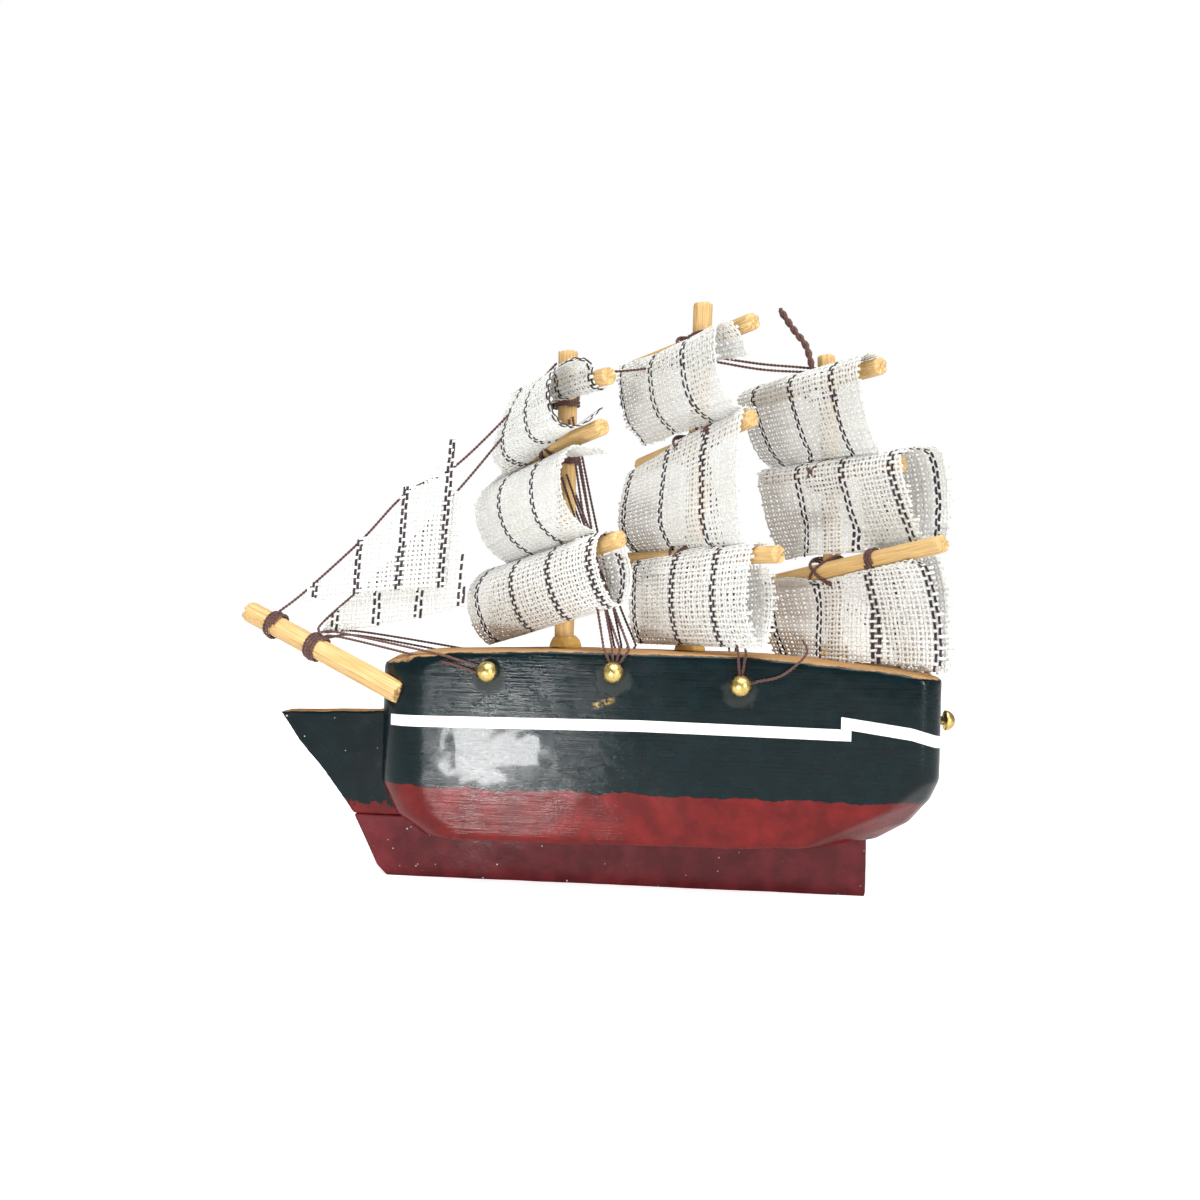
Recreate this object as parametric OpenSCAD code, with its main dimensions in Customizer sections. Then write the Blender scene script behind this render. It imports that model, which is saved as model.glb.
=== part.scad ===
// Three-masted model sailing ship, bow toward -X, port side toward -Y, keel on Z = 0.

/* [Hull] */
// Width of the hull block across its flat sides
hull_beam = 22; // [20:0.5:26]
// Height of the deck above the surface, amidships
deck_z = 32.4; // [31:0.1:34]
// Height of the flat bottom of the hull block
bottom_z = 7.2; // [6.6:0.1:7.8]
// Thickness of the stem and keel boards
board_t = 4; // [3:0.5:8]
// Width of the white tape
tape_w = 1.45; // [1:0.05:2]
// Thickness of the white tape
tape_t = 0.15; // [0.1:0.05:0.3]

/* [Pins] */
// Diameter of a brass pin's shank
pin_d = 1.2; // [0.8:0.1:1.6]
// Diameter of a brass pin's domed head
pin_head_d = 2.8; // [2.2:0.1:3.2]
// Length of shank driven into the hull
pin_depth = 5; // [3:0.5:6]
// Length of shank left standing for the threads
pin_standing = 1.1; // [0.9:0.1:1.6]
// Length of the stern pin's shank left standing
stern_pin_standing = 2.3; // [1:0.1:3]

/* [Spars] */
// Diameter of the fore and main masts
mast_d = 2.8; // [2.4:0.1:3.2]
// Diameter of the mizzen mast
mizzen_d = 2.5; // [2.2:0.1:3]
// Diameter of a yard
yard_d = 2.3; // [2:0.1:2.5]
// Diameter of the bowsprit
bowsprit_d = 3.1; // [2.6:0.1:3.4]
// Depth of a mast's hole below the deck
socket_depth = 8; // [5:0.5:12]

/* [Sails and thread] */
// Thickness of a sail
cloth_t = 0.5; // [0.4:0.1:0.6]
// Diameter of a rigging thread
thread_d = 0.45; // [0.35:0.05:0.5]
// Thickness of the thread wound on a spar
wrap_t = 0.4; // [0.3:0.05:0.45]

/* [Hidden] */
$fn = 48;

half_beam = hull_beam / 2;
PORT = -1;
STARBOARD = 1;

// Stations of the hull block: [x of the post, half width, radius in plan, bottom z, top z]
bow_r = 7;
stern_r = 4;
STATIONS = [
    [-22, half_beam, bow_r, 14, deck_z - 2.6],
    [-20, half_beam, bow_r, 9.8, deck_z - 1.4],
    [-16.5, half_beam, bow_r, bottom_z, deck_z - 0.7],
    [-3, half_beam, stern_r, bottom_z, deck_z - 0.1],
    [18, half_beam, stern_r, bottom_z + 0.3, deck_z - 0.1],
    [26, half_beam, stern_r, bottom_z + 0.6, deck_z - 0.7],
    [36, half_beam, stern_r, 12.8, deck_z - 1.5],
    [41.2, half_beam, stern_r, 17, deck_z - 2.3],
    [40.6, half_beam - 2, stern_r, 14.2, deck_z - 2.2],
    [38.4, half_beam - 4, stern_r, 10.8, deck_z - 2],
    [34.6, half_beam - 5.5, stern_r, 8.2, deck_z - 1]];
// Crown of the deck on the centreline, [x, z]
CROWN = [[-26, deck_z - 1.6], [0, deck_z + 0.1], [24, deck_z], [42, deck_z - 1.3]];

// Masts: [foot x, foot z, top x, top z, diameter]
FORE = [-4.8, deck_z - socket_depth, -5.5, 73.8, mast_d];
MAIN = [12.6, deck_z - socket_depth, 13.1, 80.6, mast_d];
MIZZEN = [33, deck_z - socket_depth - 0.8, 30.2, 73.6, mizzen_d];

// Yards: [mast, height, slew, rise, reach to port, reach to starboard]
YARDS = [
    [FORE, 68, 38, -1.5, 14.1, 7.7],
    [FORE, 60, 38, 6, 12.7, 12.5],
    [FORE, 43.9, 40, 10, 16.3, 15],
    [MAIN, 74.2, 38, 3, 13.5, 13],
    [MAIN, 60.4, 38, 8.6, 14.2, 10],
    [MAIN, 45.2, 40, -0.3, 19, 12],
    [MIZZEN, 69.4, 36, 1, 12.2, 12],
    [MIZZEN, 57.2, 38, -1, 14.6, 10.3],
    [MIZZEN, 43.8, 38, 8.4, 20.5, 9]];

// Sails hang on a yard: [yard, start, end, starboard edge, port edge].  Each edge is a run of
// [forward, up] points round the billow, measured from the yard where it crosses its mast.
SAILS = [
    [0, -7.5, 12,
        [[0.6, 1.9], [2.2, -0.4], [3.4, -3.2], [4.6, -6], [4.9, -8.2], [3.9, -9.9], [2, -10.8]],
        [[0.6, 1.6], [4.4, 1.6], [7.2, -0.6], [7.5, -4], [6.3, -6.4], [3.9, -7.2], [1.8, -6.4]]],
    [1, -11.5, 11,
        [[0.9, -2.6], [3, -3.6], [4.8, -5.6], [5.4, -8.2], [4.8, -11.2], [2.6, -14.2], [-0.7, -16]],
        [[0.4, 3], [3.4, 1.6], [5.1, -2.6], [5.1, -6.6], [4.2, -9.2], [2.4, -11], [0.4, -11.8]]],
    [2, -14, 14,
        [[0.8, -0.6], [4, -1.8], [5, -4.8], [4.2, -8], [1.6, -11.4], [0.2, -9.6], [0.9, -6]],
        [[0.4, 4.5], [2.4, 3], [2.8, 0.6], [1.4, -3], [-1.4, -5.8], [-3, -4.4], [-3.1, -1.2]]],
    [3, -12, 12,
        [[0, 1.1], [2, 0], [2.9, -2.4], [2.6, -5.2], [1.5, -8.6], [-0.4, -10.8], [-2.6, -11.6]],
        [[0.6, 2.6], [3.4, 2.2], [5.4, -0.4], [5.2, -3.6], [4.2, -7.2], [2.4, -9.4], [-0.4, -10.4]]],
    [4, -9, 13,
        [[1.8, -1.8], [2.4, -3.4], [3, -5.8], [3.4, -8.4], [3.4, -10.6], [2.4, -12.4], [0.4, -13.6]],
        [[1.8, 1.4], [1.9, -1.2], [2, -4.4], [2.1, -7.6], [2, -10.4], [1.5, -12.6], [0.8, -13.4]]],
    [5, -8, 15,
        [[1.8, -1.4], [2.2, -4], [2, -7.2], [1, -10], [0, -10.8], [-0.2, -7.6], [0.1, -4.4]],
        [[1.8, 0.4], [2.4, -3], [2.3, -6.6], [1.6, -9.6], [0, -11.6], [-1.9, -9.8], [-2.3, -5.2]]],
    [6, -11, 11,
        [[0.6, 1.6], [3.2, 0.4], [3.4, -1.6], [2.6, -4], [1.4, -6.4], [0.2, -8.4], [-1.6, -9.8]],
        [[0.6, 1.9], [4, 1], [4, -1.8], [3.4, -4.6], [2.4, -7.4], [1.2, -9.6], [0, -11]]],
    [7, -7, 16.5,
        [[1.9, 0.6], [1.4, -1.4], [0.8, -3.6], [0.4, -5.8], [0, -8], [-0.2, -10], [-0.4, -11.6]],
        [[1.9, 0.6], [0.9, -1.8], [0.2, -4], [-0.4, -6], [-0.8, -8], [-1.2, -9.6], [-1.6, -10.6]]],
    [8, -7, 18,
        [[1.9, -1.2], [1.8, -2.8], [1.6, -4.4], [1.2, -6.2], [0.8, -7.8], [0.3, -9.4], [-0.2, -10.8]],
        [[-1.9, 2], [-3, 0], [-4.2, -2.2], [-5.2, -4.4], [-5.8, -6.6], [-6.2, -8.8], [-6.4, -10.6]]]];

// Threads, as runs of [x, y, z] points
PORT_PINS = [[-13.6, 29.3], [2.7, 29.7], [19, 28.5]];
STERN_PIN_Z = 24;
STERN_X = 45.2;
BOWSPRIT_TIP = [-49.3, -2, 36.2];
BOWSPRIT_BUTT = [-25.6, -9.6, 26];
thread_y = half_beam + 0.55;

// ---------------------------------------------------------------- shapes

module hull_shape(grow = 0) {
    hull() {
        for (s = STATIONS, side = [PORT, STARBOARD])
            translate([s[0], side * (s[1] - s[2]), s[3] - grow])
                cylinder(h = s[4] - s[3] + grow, r = s[2] + grow, $fn = 96);
        for (c = CROWN)
            translate([c[0], 0, c[1] - 1]) cylinder(h = 1, r = 0.5, $fn = 12);
    }
}

// Points a straight piece along the line from a to b
module between(a, b) {
    d = b - a;
    flat = norm([d[0], d[1]]);
    translate(a) rotate([0, atan2(flat, d[2]), atan2(d[1], d[0])]) children();
}

module rod(a, b, d) {
    between(a, b) cylinder(h = norm(b - a), d = d);
}

thread_sides = 8;
function unit(v) = v / norm(v);
// One ring of a tube, square to its run of points p at point i
function ring(p, i, d) =
    let(t = unit(p[min(i + 1, len(p) - 1)] - p[max(i - 1, 0)]), u = unit(cross(t, [0.1, 1, 0])), v = cross(t, u))
    [for (k = [0 : thread_sides - 1]) let(a = 360 * k / thread_sides)
        p[i] + d / 2 * (cos(a) * u + sin(a) * v)];

module tube(p, d) {
    n = thread_sides;
    points = [for (i = [0 : len(p) - 1], q = ring(p, i, d)) q];
    sides = [for (i = [0 : len(p) - 2], k = [0 : n - 1], h = [0, 1])
        let(a = i * n + k, b = i * n + (k + 1) % n) h == 0 ? [a, a + n, b] : [b, a + n, b + n]];
    start_cap = [for (k = [0 : n - 1]) k];
    end_cap = [for (k = [n - 1 : -1 : 0]) (len(p) - 1) * n + k];
    polyhedron(points, concat(sides, [start_cap, end_cap]));
}

module thread(points) {
    tube(points, thread_d);
}

function mast_foot(m) = [m[0], 0, m[1]];
function mast_top(m) = [m[2], 0, m[3]];
function mast_at(m, z) = mast_foot(m) + (mast_top(m) - mast_foot(m)) * (z - m[1]) / (m[3] - m[1]);

module mast(m) {
    rod(mast_foot(m), mast_top(m), m[4]);
}

// Places children on a yard, with X forward, Y to starboard along the yard's slew, and Z up
module on_yard(y) {
    standoff = (y[0][4] + yard_d) / 2;
    translate(mast_at(y[0], y[1])) rotate([0, 0, y[2]]) translate([-standoff, 0, 0])
        mirror([1, 0, 0]) children();
}

module yard(i) {
    y = YARDS[i];
    on_yard(y) rotate([90 - y[3], 0, 0])
        translate([0, 0, -y[5]]) cylinder(h = y[4] + y[5], d = yard_d);
}

module lashing(i) {
    y = YARDS[i];
    difference() {
        union() {
            on_yard(y) rotate([90 - y[3], 0, 0])
                translate([0, 0, -1.5]) cylinder(h = 3, d = yard_d + 2 * wrap_t);
            rod(mast_at(y[0], y[1] - 0.9), mast_at(y[0], y[1] + 0.9), y[0][4] + 2 * wrap_t);
        }
        yard(i);
        mast(y[0]);
    }
}

// Unit normal of a run of points at point i, and the run moved by t along it
function tangent(p, i) = p[min(i + 1, len(p) - 1)] - p[max(i - 1, 0)];
function moved(p, t) = [for (i = [0 : len(p) - 1])
    let(d = tangent(p, i) / norm(tangent(p, i))) p[i] + t * [d[1], -d[0]]];
function reversed(p) = [for (i = [len(p) - 1 : -1 : 0]) p[i]];
// Closed outline of the cloth's edge
function cloth_edge(p) = concat(p, reversed(moved(p, cloth_t)));

module sail(i) {
    s = SAILS[i];
    far = cloth_edge(s[3]);
    near = cloth_edge(s[4]);
    n = len(far);
    m = n / 2;
    points = concat([for (p = far) [p[0], -s[1], p[1]]], [for (p = near) [p[0], -s[2], p[1]]]);
    // The inner wall is split along the same diagonals as the outer one
    outer = [for (k = [0 : m - 1], h = [0, 1]) h == 0 ? [k, k + 1, k + n] : [k + 1, k + 1 + n, k + n]];
    inner = [for (k = [m : n - 1], h = [0, 1])
        let(q = (k + 1) % n) h == 0 ? [k, q, q + n] : [k, q + n, k + n]];
    caps = [for (k = [0 : m - 2], h = [0, 1])
        let(a = k, b = k + 1, c = n - 2 - k, d = n - 1 - k) h == 0 ? [a, d, b] : [b, d, c]];
    near_caps = [for (t = caps) [t[0] + n, t[2] + n, t[1] + n]];
    on_yard(YARDS[s[0]]) polyhedron(points, concat(outer, inner, caps, near_caps));
}

module pin(x, y, z, turn, standing = pin_standing) {
    translate([x, y, z]) rotate([0, 0, turn]) rotate([90, 0, 0]) {
        translate([0, 0, -pin_depth]) cylinder(h = pin_depth + standing + 0.2, d = pin_d);
        intersection() {
            translate([0, 0, standing - 0.3]) sphere(d = pin_head_d);
            translate([0, 0, standing]) cylinder(h = pin_head_d, d = pin_head_d);
        }
    }
}

module side_pins(side) {
    for (p = PORT_PINS) pin(p[0], side * half_beam, p[1], side == PORT ? 0 : 180);
}

module spar_holes() {
    for (m = [FORE, MAIN, MIZZEN]) mast(m);
    rod(BOWSPRIT_TIP, BOWSPRIT_BUTT, bowsprit_d);
    side_pins(PORT);
    side_pins(STARBOARD);
    pin(STERN_X, 0, STERN_PIN_Z, 90);
}

// Tape on the hull's skin, inside a band of the side view, on one side
module tape(band, side) {
    difference() {
        intersection() {
            hull_shape(tape_t);
            rotate([90, 0, 0]) linear_extrude(height = 2 * hull_beam, center = true) polygon(band);
            if (side != 0) translate([0, side * hull_beam, 0]) cube([200, 2 * hull_beam, 200], center = true);
        }
        hull_shape();
    }
}

side_band = [[-26.8, 21.75], [6, 22.15], [33.2, 21.85],
    [33.2, 21.85 + tape_w], [6, 22.15 + tape_w], [-26.8, 21.75 + tape_w]];
stern_band = [[31.9, 23.4], [40.8, 22.2], [44, 21.3], [50, 20.4],
    [50, 20.4 + tape_w], [44, 21.4 + tape_w], [40.8, 22.3 + tape_w], [31.9, 23.45 + tape_w]];

// ---------------------------------------------------------------- hull pieces

module hull_block() {
    color([0.02, 0.08, 0.09]) difference() {
        hull_shape();
        spar_holes();
    }
}

stem_outline = [[-44.6, 22.4], [-41.8, 18.4], [-38.3, 14.5], [-34.9, 10.1], [-33.7, 8.4],
    [-22, 8.4], [-22, 23.2]];
module stem_piece() {
    color([0.03, 0.07, 0.08]) difference() {
        translate([0, board_t / 2, 0]) rotate([90, 0, 0])
            linear_extrude(height = board_t) polygon(stem_outline);
        hull_shape();
    }
}

keel_outline = [[-28.9, 0], [37.2, 0], [37.2, 9.4], [-20, 8.4], [-33.7, 8.4], [-30.2, 1.3]];
module keel_board() {
    color([0.32, 0.08, 0.1]) difference() {
        translate([0, board_t / 2, 0]) rotate([90, 0, 0])
            linear_extrude(height = board_t) polygon(keel_outline);
        hull_shape();
    }
}

module port_stripe() { color("white") tape(side_band, PORT); }
module starboard_stripe() { color("white") tape(side_band, STARBOARD); }
module stern_stripe() { color("white") tape(stern_band, 0); }

module port_pins() { color([0.72, 0.6, 0.25]) side_pins(PORT); }
module starboard_pins() { color([0.72, 0.6, 0.25]) side_pins(STARBOARD); }
module stern_pin() { color([0.72, 0.6, 0.25]) pin(STERN_X, 0, STERN_PIN_Z, 90, stern_pin_standing); }

// ---------------------------------------------------------------- spars

module bowsprit() { color("burlywood") rod(BOWSPRIT_TIP, BOWSPRIT_BUTT, bowsprit_d); }
module fore_mast() { color("burlywood") mast(FORE); }
module main_mast() { color("burlywood") mast(MAIN); }
module mizzen_mast() { color("burlywood") mast(MIZZEN); }

module mast_glue_beads() {
    color("goldenrod") for (m = [FORE, MAIN, MIZZEN]) difference() {
        translate(mast_at(m, deck_z)) sphere(d = m[4] + 1.6);
        hull_shape();
        mast(m);
    }
}

module fore_upper_yard() { color("burlywood") yard(0); }
module fore_middle_yard() { color("burlywood") yard(1); }
module fore_lower_yard() { color("burlywood") yard(2); }
module main_upper_yard() { color("burlywood") yard(3); }
module main_middle_yard() { color("burlywood") yard(4); }
module main_lower_yard() { color("burlywood") yard(5); }
module mizzen_upper_yard() { color("burlywood") yard(6); }
module mizzen_middle_yard() { color("burlywood") yard(7); }
module mizzen_lower_yard() { color("burlywood") yard(8); }

module fore_upper_lashing() { color("saddlebrown") lashing(0); }
module fore_middle_lashing() { color("saddlebrown") lashing(1); }
module fore_lower_lashing() { color("saddlebrown") lashing(2); }
module main_upper_lashing() { color("saddlebrown") lashing(3); }
module main_middle_lashing() { color("saddlebrown") lashing(4); }
module main_lower_lashing() { color("saddlebrown") lashing(5); }
module mizzen_upper_lashing() { color("saddlebrown") lashing(6); }
module mizzen_middle_lashing() { color("saddlebrown") lashing(7); }
module mizzen_lower_lashing() { color("saddlebrown") lashing(8); }

// ---------------------------------------------------------------- sails

module fore_upper_sail() { color("ivory") sail(0); }
module fore_middle_sail() { color("ivory") sail(1); }
module fore_lower_sail() { color("ivory") sail(2); }
module main_upper_sail() { color("ivory") sail(3); }
module main_middle_sail() { color("ivory") sail(4); }
module main_lower_sail() { color("ivory") sail(5); }
module mizzen_upper_sail() { color("ivory") sail(6); }
module mizzen_middle_sail() { color("ivory") sail(7); }
module mizzen_lower_sail() { color("ivory") sail(8); }

module jib(outline, y) {
    translate([0, y, 0]) rotate([90, 0, 0]) linear_extrude(height = cloth_t) polygon(outline);
}
outer_jib_y = -2.6;
inner_jib_y = -1.2;
outer_jib_outline = [[-41.1, 38.2], [-40.2, 40.2], [-36.6, 42], [-33.6, 46.6], [-30, 49],
    [-27.3, 54], [-23.6, 55.6], [-20.8, 60.4], [-20.4, 52], [-21.6, 40.6]];
inner_jib_outline = [[-38.6, 35.2], [-33, 35.6], [-26.3, 36.6], [-19.5, 38.4], [-19.6, 47.5],
    [-20.6, 53.4], [-29, 45]];
module outer_jib() { color("ivory") jib(outer_jib_outline, outer_jib_y); }
module inner_jib() { color("ivory") jib(inner_jib_outline, inner_jib_y); }

// ---------------------------------------------------------------- thread

// Collar of thread on the bowsprit, f being its place between the tip and the butt
function on_bowsprit(f) = BOWSPRIT_TIP + f * (BOWSPRIT_BUTT - BOWSPRIT_TIP);
module bowsprit_lashing(f) {
    axis = (BOWSPRIT_BUTT - BOWSPRIT_TIP) / norm(BOWSPRIT_BUTT - BOWSPRIT_TIP);
    color("saddlebrown") difference() {
        rod(on_bowsprit(f) - axis, on_bowsprit(f) + axis, bowsprit_d + 2 * wrap_t);
        rod(BOWSPRIT_TIP - axis, BOWSPRIT_BUTT, bowsprit_d);
    }
}
outer_lashing_f = 0.18;
inner_lashing_f = 0.45;
module outer_bowsprit_lashing() { bowsprit_lashing(outer_lashing_f); }
module inner_bowsprit_lashing() { bowsprit_lashing(inner_lashing_f); }

lash_top = bowsprit_d / 2 + wrap_t + thread_d / 2;
outer_eye = on_bowsprit(outer_lashing_f) + [0.6, 0, lash_top];
inner_eye = on_bowsprit(inner_lashing_f) + [0.6, 0, lash_top];
fore_head = mast_at(FORE, 72.4) + [-mast_d / 2 - thread_d / 2, 0, 0];
module outer_jib_stay() {
    color("saddlebrown") thread([outer_eye, fore_head]);
}
module inner_jib_stay() {
    color("saddlebrown") thread([inner_eye, fore_head + [0, 0, -1.2]]);
}

module fore_main_stay() {
    color("saddlebrown") thread([mast_at(FORE, 70.6) + [mast_d / 2 + thread_d / 2, 0, 0],
        mast_at(MAIN, 72) + [-mast_d / 2 - thread_d / 2, 0, 0]]);
}
module main_mizzen_stays() {
    color("saddlebrown") for (dz = [0, 0.9])
        thread([mast_at(MAIN, 72 + dz) + [mast_d / 2 + thread_d / 2, 0, 0],
            mast_at(MIZZEN, 71 + dz) + [-mizzen_d / 2 - thread_d / 2, 0, 0]]);
}

// Threads from a point on a mast down to a side pin, spread by dx at the pin
module side_threads(side, m, z, p, spread) {
    color("saddlebrown") for (k = [-0.5, 0.5]) {
        foot = [PORT_PINS[p][0] + k * spread, side * thread_y, PORT_PINS[p][1]];
        rail = [foot[0], side * thread_y, deck_z + 0.4];
        head = mast_at(m, z) + [1.6 * k, side * (m[4] + thread_d + 0.1) / 2, 0];
        thread([foot, rail, head]);
    }
}
module port_fore_backstays() { side_threads(PORT, FORE, 64, 1, 2.2); }
module starboard_fore_backstays() { side_threads(STARBOARD, FORE, 64, 1, 2.2); }
module port_fore_shrouds() { side_threads(PORT, FORE, 56, 1, 4); }
module starboard_fore_shrouds() { side_threads(STARBOARD, FORE, 56, 1, 4); }
module port_main_backstays() { side_threads(PORT, MAIN, 64, 2, 1.9); }
module starboard_main_backstays() { side_threads(STARBOARD, MAIN, 64, 2, 1.9); }

module bow_guys(side) {
    color("saddlebrown") for (k = [-0.5, 0.5]) {
        foot = [PORT_PINS[0][0] - 1, side * thread_y, PORT_PINS[0][1] + 1.3 * k];
        thread([foot, [-21, side * thread_y, 31 + 0.8 * k], inner_eye + [1, side * 0.8, 0.5 * k]]);
    }
}
module port_bow_guys() { bow_guys(PORT); }
module starboard_bow_guys() { bow_guys(STARBOARD); }

module mizzen_backstays() {
    color("saddlebrown") for (k = [-0.5, 0.5])
        thread([mast_at(MIZZEN, 40) + [mizzen_d / 2 + thread_d, k, 0],
            [44.6, k * 1.6, deck_z - 1.2], [46, k * 1.8, 30.4], [STERN_X + 0.9, k * 1.7, STERN_PIN_Z]]);
}

module cord_tail() {
    color("saddlebrown") tube([[28.4, -0.6, 71.4], [27.8, -1, 74], [26.2, -1, 76.6], [23.8, -1, 79.6]], 1.1);
}

module loose_thread() {
    color("saddlebrown") thread([[20.2, -thread_y, 28.6], [24, -thread_y - 0.6, 30.2],
        [27, -thread_y - 0.4, 33.2], [26.7, -thread_y, 34.6]]);
}

hull_block();
stem_piece();
keel_board();
port_stripe();
starboard_stripe();
stern_stripe();
port_pins();
starboard_pins();
stern_pin();
bowsprit();
fore_mast();
main_mast();
mizzen_mast();
mast_glue_beads();
fore_upper_yard();
fore_middle_yard();
fore_lower_yard();
main_upper_yard();
main_middle_yard();
main_lower_yard();
mizzen_upper_yard();
mizzen_middle_yard();
mizzen_lower_yard();
fore_upper_lashing();
fore_middle_lashing();
fore_lower_lashing();
main_upper_lashing();
main_middle_lashing();
main_lower_lashing();
mizzen_upper_lashing();
mizzen_middle_lashing();
mizzen_lower_lashing();
fore_upper_sail();
fore_middle_sail();
fore_lower_sail();
main_upper_sail();
main_middle_sail();
main_lower_sail();
mizzen_upper_sail();
mizzen_middle_sail();
mizzen_lower_sail();
outer_jib();
inner_jib();
outer_bowsprit_lashing();
inner_bowsprit_lashing();
outer_jib_stay();
inner_jib_stay();
fore_main_stay();
main_mizzen_stays();
port_bow_guys();
starboard_bow_guys();
port_fore_backstays();
starboard_fore_backstays();
port_fore_shrouds();
starboard_fore_shrouds();
port_main_backstays();
starboard_main_backstays();
mizzen_backstays();
cord_tail();
loose_thread();
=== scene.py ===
import math

import bmesh
import bpy
from mathutils import Matrix, Vector, noise


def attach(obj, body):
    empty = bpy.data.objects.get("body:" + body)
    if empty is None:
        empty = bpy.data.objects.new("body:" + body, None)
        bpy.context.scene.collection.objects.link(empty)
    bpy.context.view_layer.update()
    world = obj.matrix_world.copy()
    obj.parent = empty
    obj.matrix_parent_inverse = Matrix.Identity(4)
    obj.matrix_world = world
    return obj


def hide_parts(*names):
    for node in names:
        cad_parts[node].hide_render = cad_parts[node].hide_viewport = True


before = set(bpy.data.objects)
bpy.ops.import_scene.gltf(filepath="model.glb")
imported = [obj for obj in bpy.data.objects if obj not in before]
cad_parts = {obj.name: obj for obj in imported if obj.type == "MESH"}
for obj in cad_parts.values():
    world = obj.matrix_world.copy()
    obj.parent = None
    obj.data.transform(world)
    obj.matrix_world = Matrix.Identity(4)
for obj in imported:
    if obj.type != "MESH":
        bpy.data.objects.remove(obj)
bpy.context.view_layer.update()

mm = 0.001
print("frame loaded")


# Camera and light

def linked(name, data):
    made = bpy.data.objects.new(name, data)
    bpy.context.scene.collection.objects.link(made)
    return made


view = {"place": (10.46, -149.6, 36.4), "yaw": 4.0, "roll": 1.6, "lens": 32.22, "sensor": 36,
    "shiftY": 20 / 1200, "nearest": 0.005}

camera = bpy.data.cameras.new("camera")
camera.lens = view["lens"]
camera.sensor_width = view["sensor"]
camera.shift_y = view["shiftY"]
camera.clip_start = view["nearest"]
cameraObject = linked("camera", camera)
cameraObject.matrix_world = (Matrix.Translation(Vector(view["place"]) * mm)
    @ Matrix.Rotation(math.radians(view["yaw"]), 4, "Z") @ Matrix.Rotation(math.radians(90), 4, "X")
    @ Matrix.Rotation(math.radians(view["roll"]), 4, "Z"))
bpy.context.scene.camera = cameraObject


def softLight(name, place, aim, size, watts):
    lamp = bpy.data.lights.new(name, "AREA")
    lamp.shape = "RECTANGLE"
    lamp.size, lamp.size_y = size
    lamp.energy = watts
    lampObject = linked(name, lamp)
    lampObject.location = Vector(place)
    lampObject.rotation_euler = (Vector(aim) - Vector(place)).to_track_quat("-Z", "Y").to_euler()
    lampObject.visible_camera = False


# Each lamp: where it stands, what it points at, its width and height in metres, and its watts
lamps = {
    "windowLight": ((-0.030, -0.116, 0.0056), (-0.0126, -0.011, 0.019), (0.022, 0.010), 0.06),  # bow glint
    "topLight": ((0.10, -0.25, 0.55), (0, 0, 0.04), (0.5, 0.4), 4.2),  # fills the deck
    "sternLight": ((0.30, -0.30, 0.12), (0.03, 0, 0.02), (0.05, 0.12), 0.5)}
for name, (place, aim, size, watts) in lamps.items():
    softLight(name, place, aim, size, watts)


# Shader helpers

def freshMaterial(name):
    material = bpy.data.materials.new(name)
    material.use_nodes = True
    tree = material.node_tree
    return material, tree, tree.nodes["Principled BSDF"]


def put(tree, kind, settings=None, **sockets):
    made = tree.nodes.new(kind)
    for key, value in (settings or {}).items():
        setattr(made, key, value)
    for key, value in sockets.items():
        # i0, i1 and i2 are sockets by number, the rest by name
        numbered = key[0] == "i" and key[1:].isdigit()
        join(tree, value, made.inputs[int(key[1:])] if numbered else made.inputs[key])
    return made


def mathNode(tree, operation, a, b=0.0, c=0.0, clamp=False):
    return put(tree, "ShaderNodeMath", {"operation": operation, "use_clamp": clamp}, i0=a, i1=b,
        i2=c).outputs[0]


def times(tree, a, b):
    return mathNode(tree, "MULTIPLY", a, b)


def plus(tree, a, b):
    return mathNode(tree, "ADD", a, b)


def minus(tree, a, b):
    return mathNode(tree, "SUBTRACT", a, b)


def join(tree, value, socket):
    # Feeds a socket from another one, or sets its own value
    if isinstance(value, bpy.types.NodeSocket):
        tree.links.new(value, socket)
    else:
        socket.default_value = value


def mixColour(tree, factor, a, b):
    made = put(tree, "ShaderNodeMix", {"data_type": "RGBA"})
    for index, value in ((0, factor), (6, a), (7, b)):
        join(tree, value, made.inputs[index])
    return made.outputs[2]


def mapRange(tree, value, low, high, toLow=0.0, toHigh=1.0):
    made = put(tree, "ShaderNodeMapRange", {"clamp": True})
    for index, entry in enumerate((value, low, high, toLow, toHigh)):
        join(tree, entry, made.inputs[index])
    return made.outputs[0]


def scaled(tree, vector, factor):
    return put(tree, "ShaderNodeVectorMath", {"operation": "SCALE"}, i0=vector, Scale=factor).outputs[0]


def added(tree, a, b):
    return put(tree, "ShaderNodeVectorMath", {"operation": "ADD"}, i0=a, i1=b).outputs[0]


def inMillimetres(tree):
    spot = put(tree, "ShaderNodeTexCoord").outputs["Object"]
    return scaled(tree, spot, 1 / mm)


def stretched(tree, vector, scale):
    return put(tree, "ShaderNodeVectorMath", {"operation": "MULTIPLY"}, i0=vector, i1=scale).outputs[0]


def noiseAt(tree, vector, scale, detail=3.0, roughness=0.55):
    return put(tree, "ShaderNodeTexNoise", None, Vector=vector, Scale=scale, Detail=detail,
        Roughness=roughness).outputs[0]


def bump(tree, height, distance):
    return put(tree, "ShaderNodeBump", None, Height=height, Distance=distance).outputs[0]


def addInputs(tree, inputs):
    for label, kind, value in inputs:
        socket = tree.interface.new_socket(label, in_out="INPUT", socket_type=kind)
        if value is not None:
            socket.default_value = value


def shaderGroup(name, inputs, outputs):
    group = bpy.data.node_groups.new(name, "ShaderNodeTree")
    addInputs(group, inputs)
    for label, kind in outputs:
        group.interface.new_socket(label, in_out="OUTPUT", socket_type=kind)
    return group, group.nodes.new("NodeGroupInput"), group.nodes.new("NodeGroupOutput")


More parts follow.
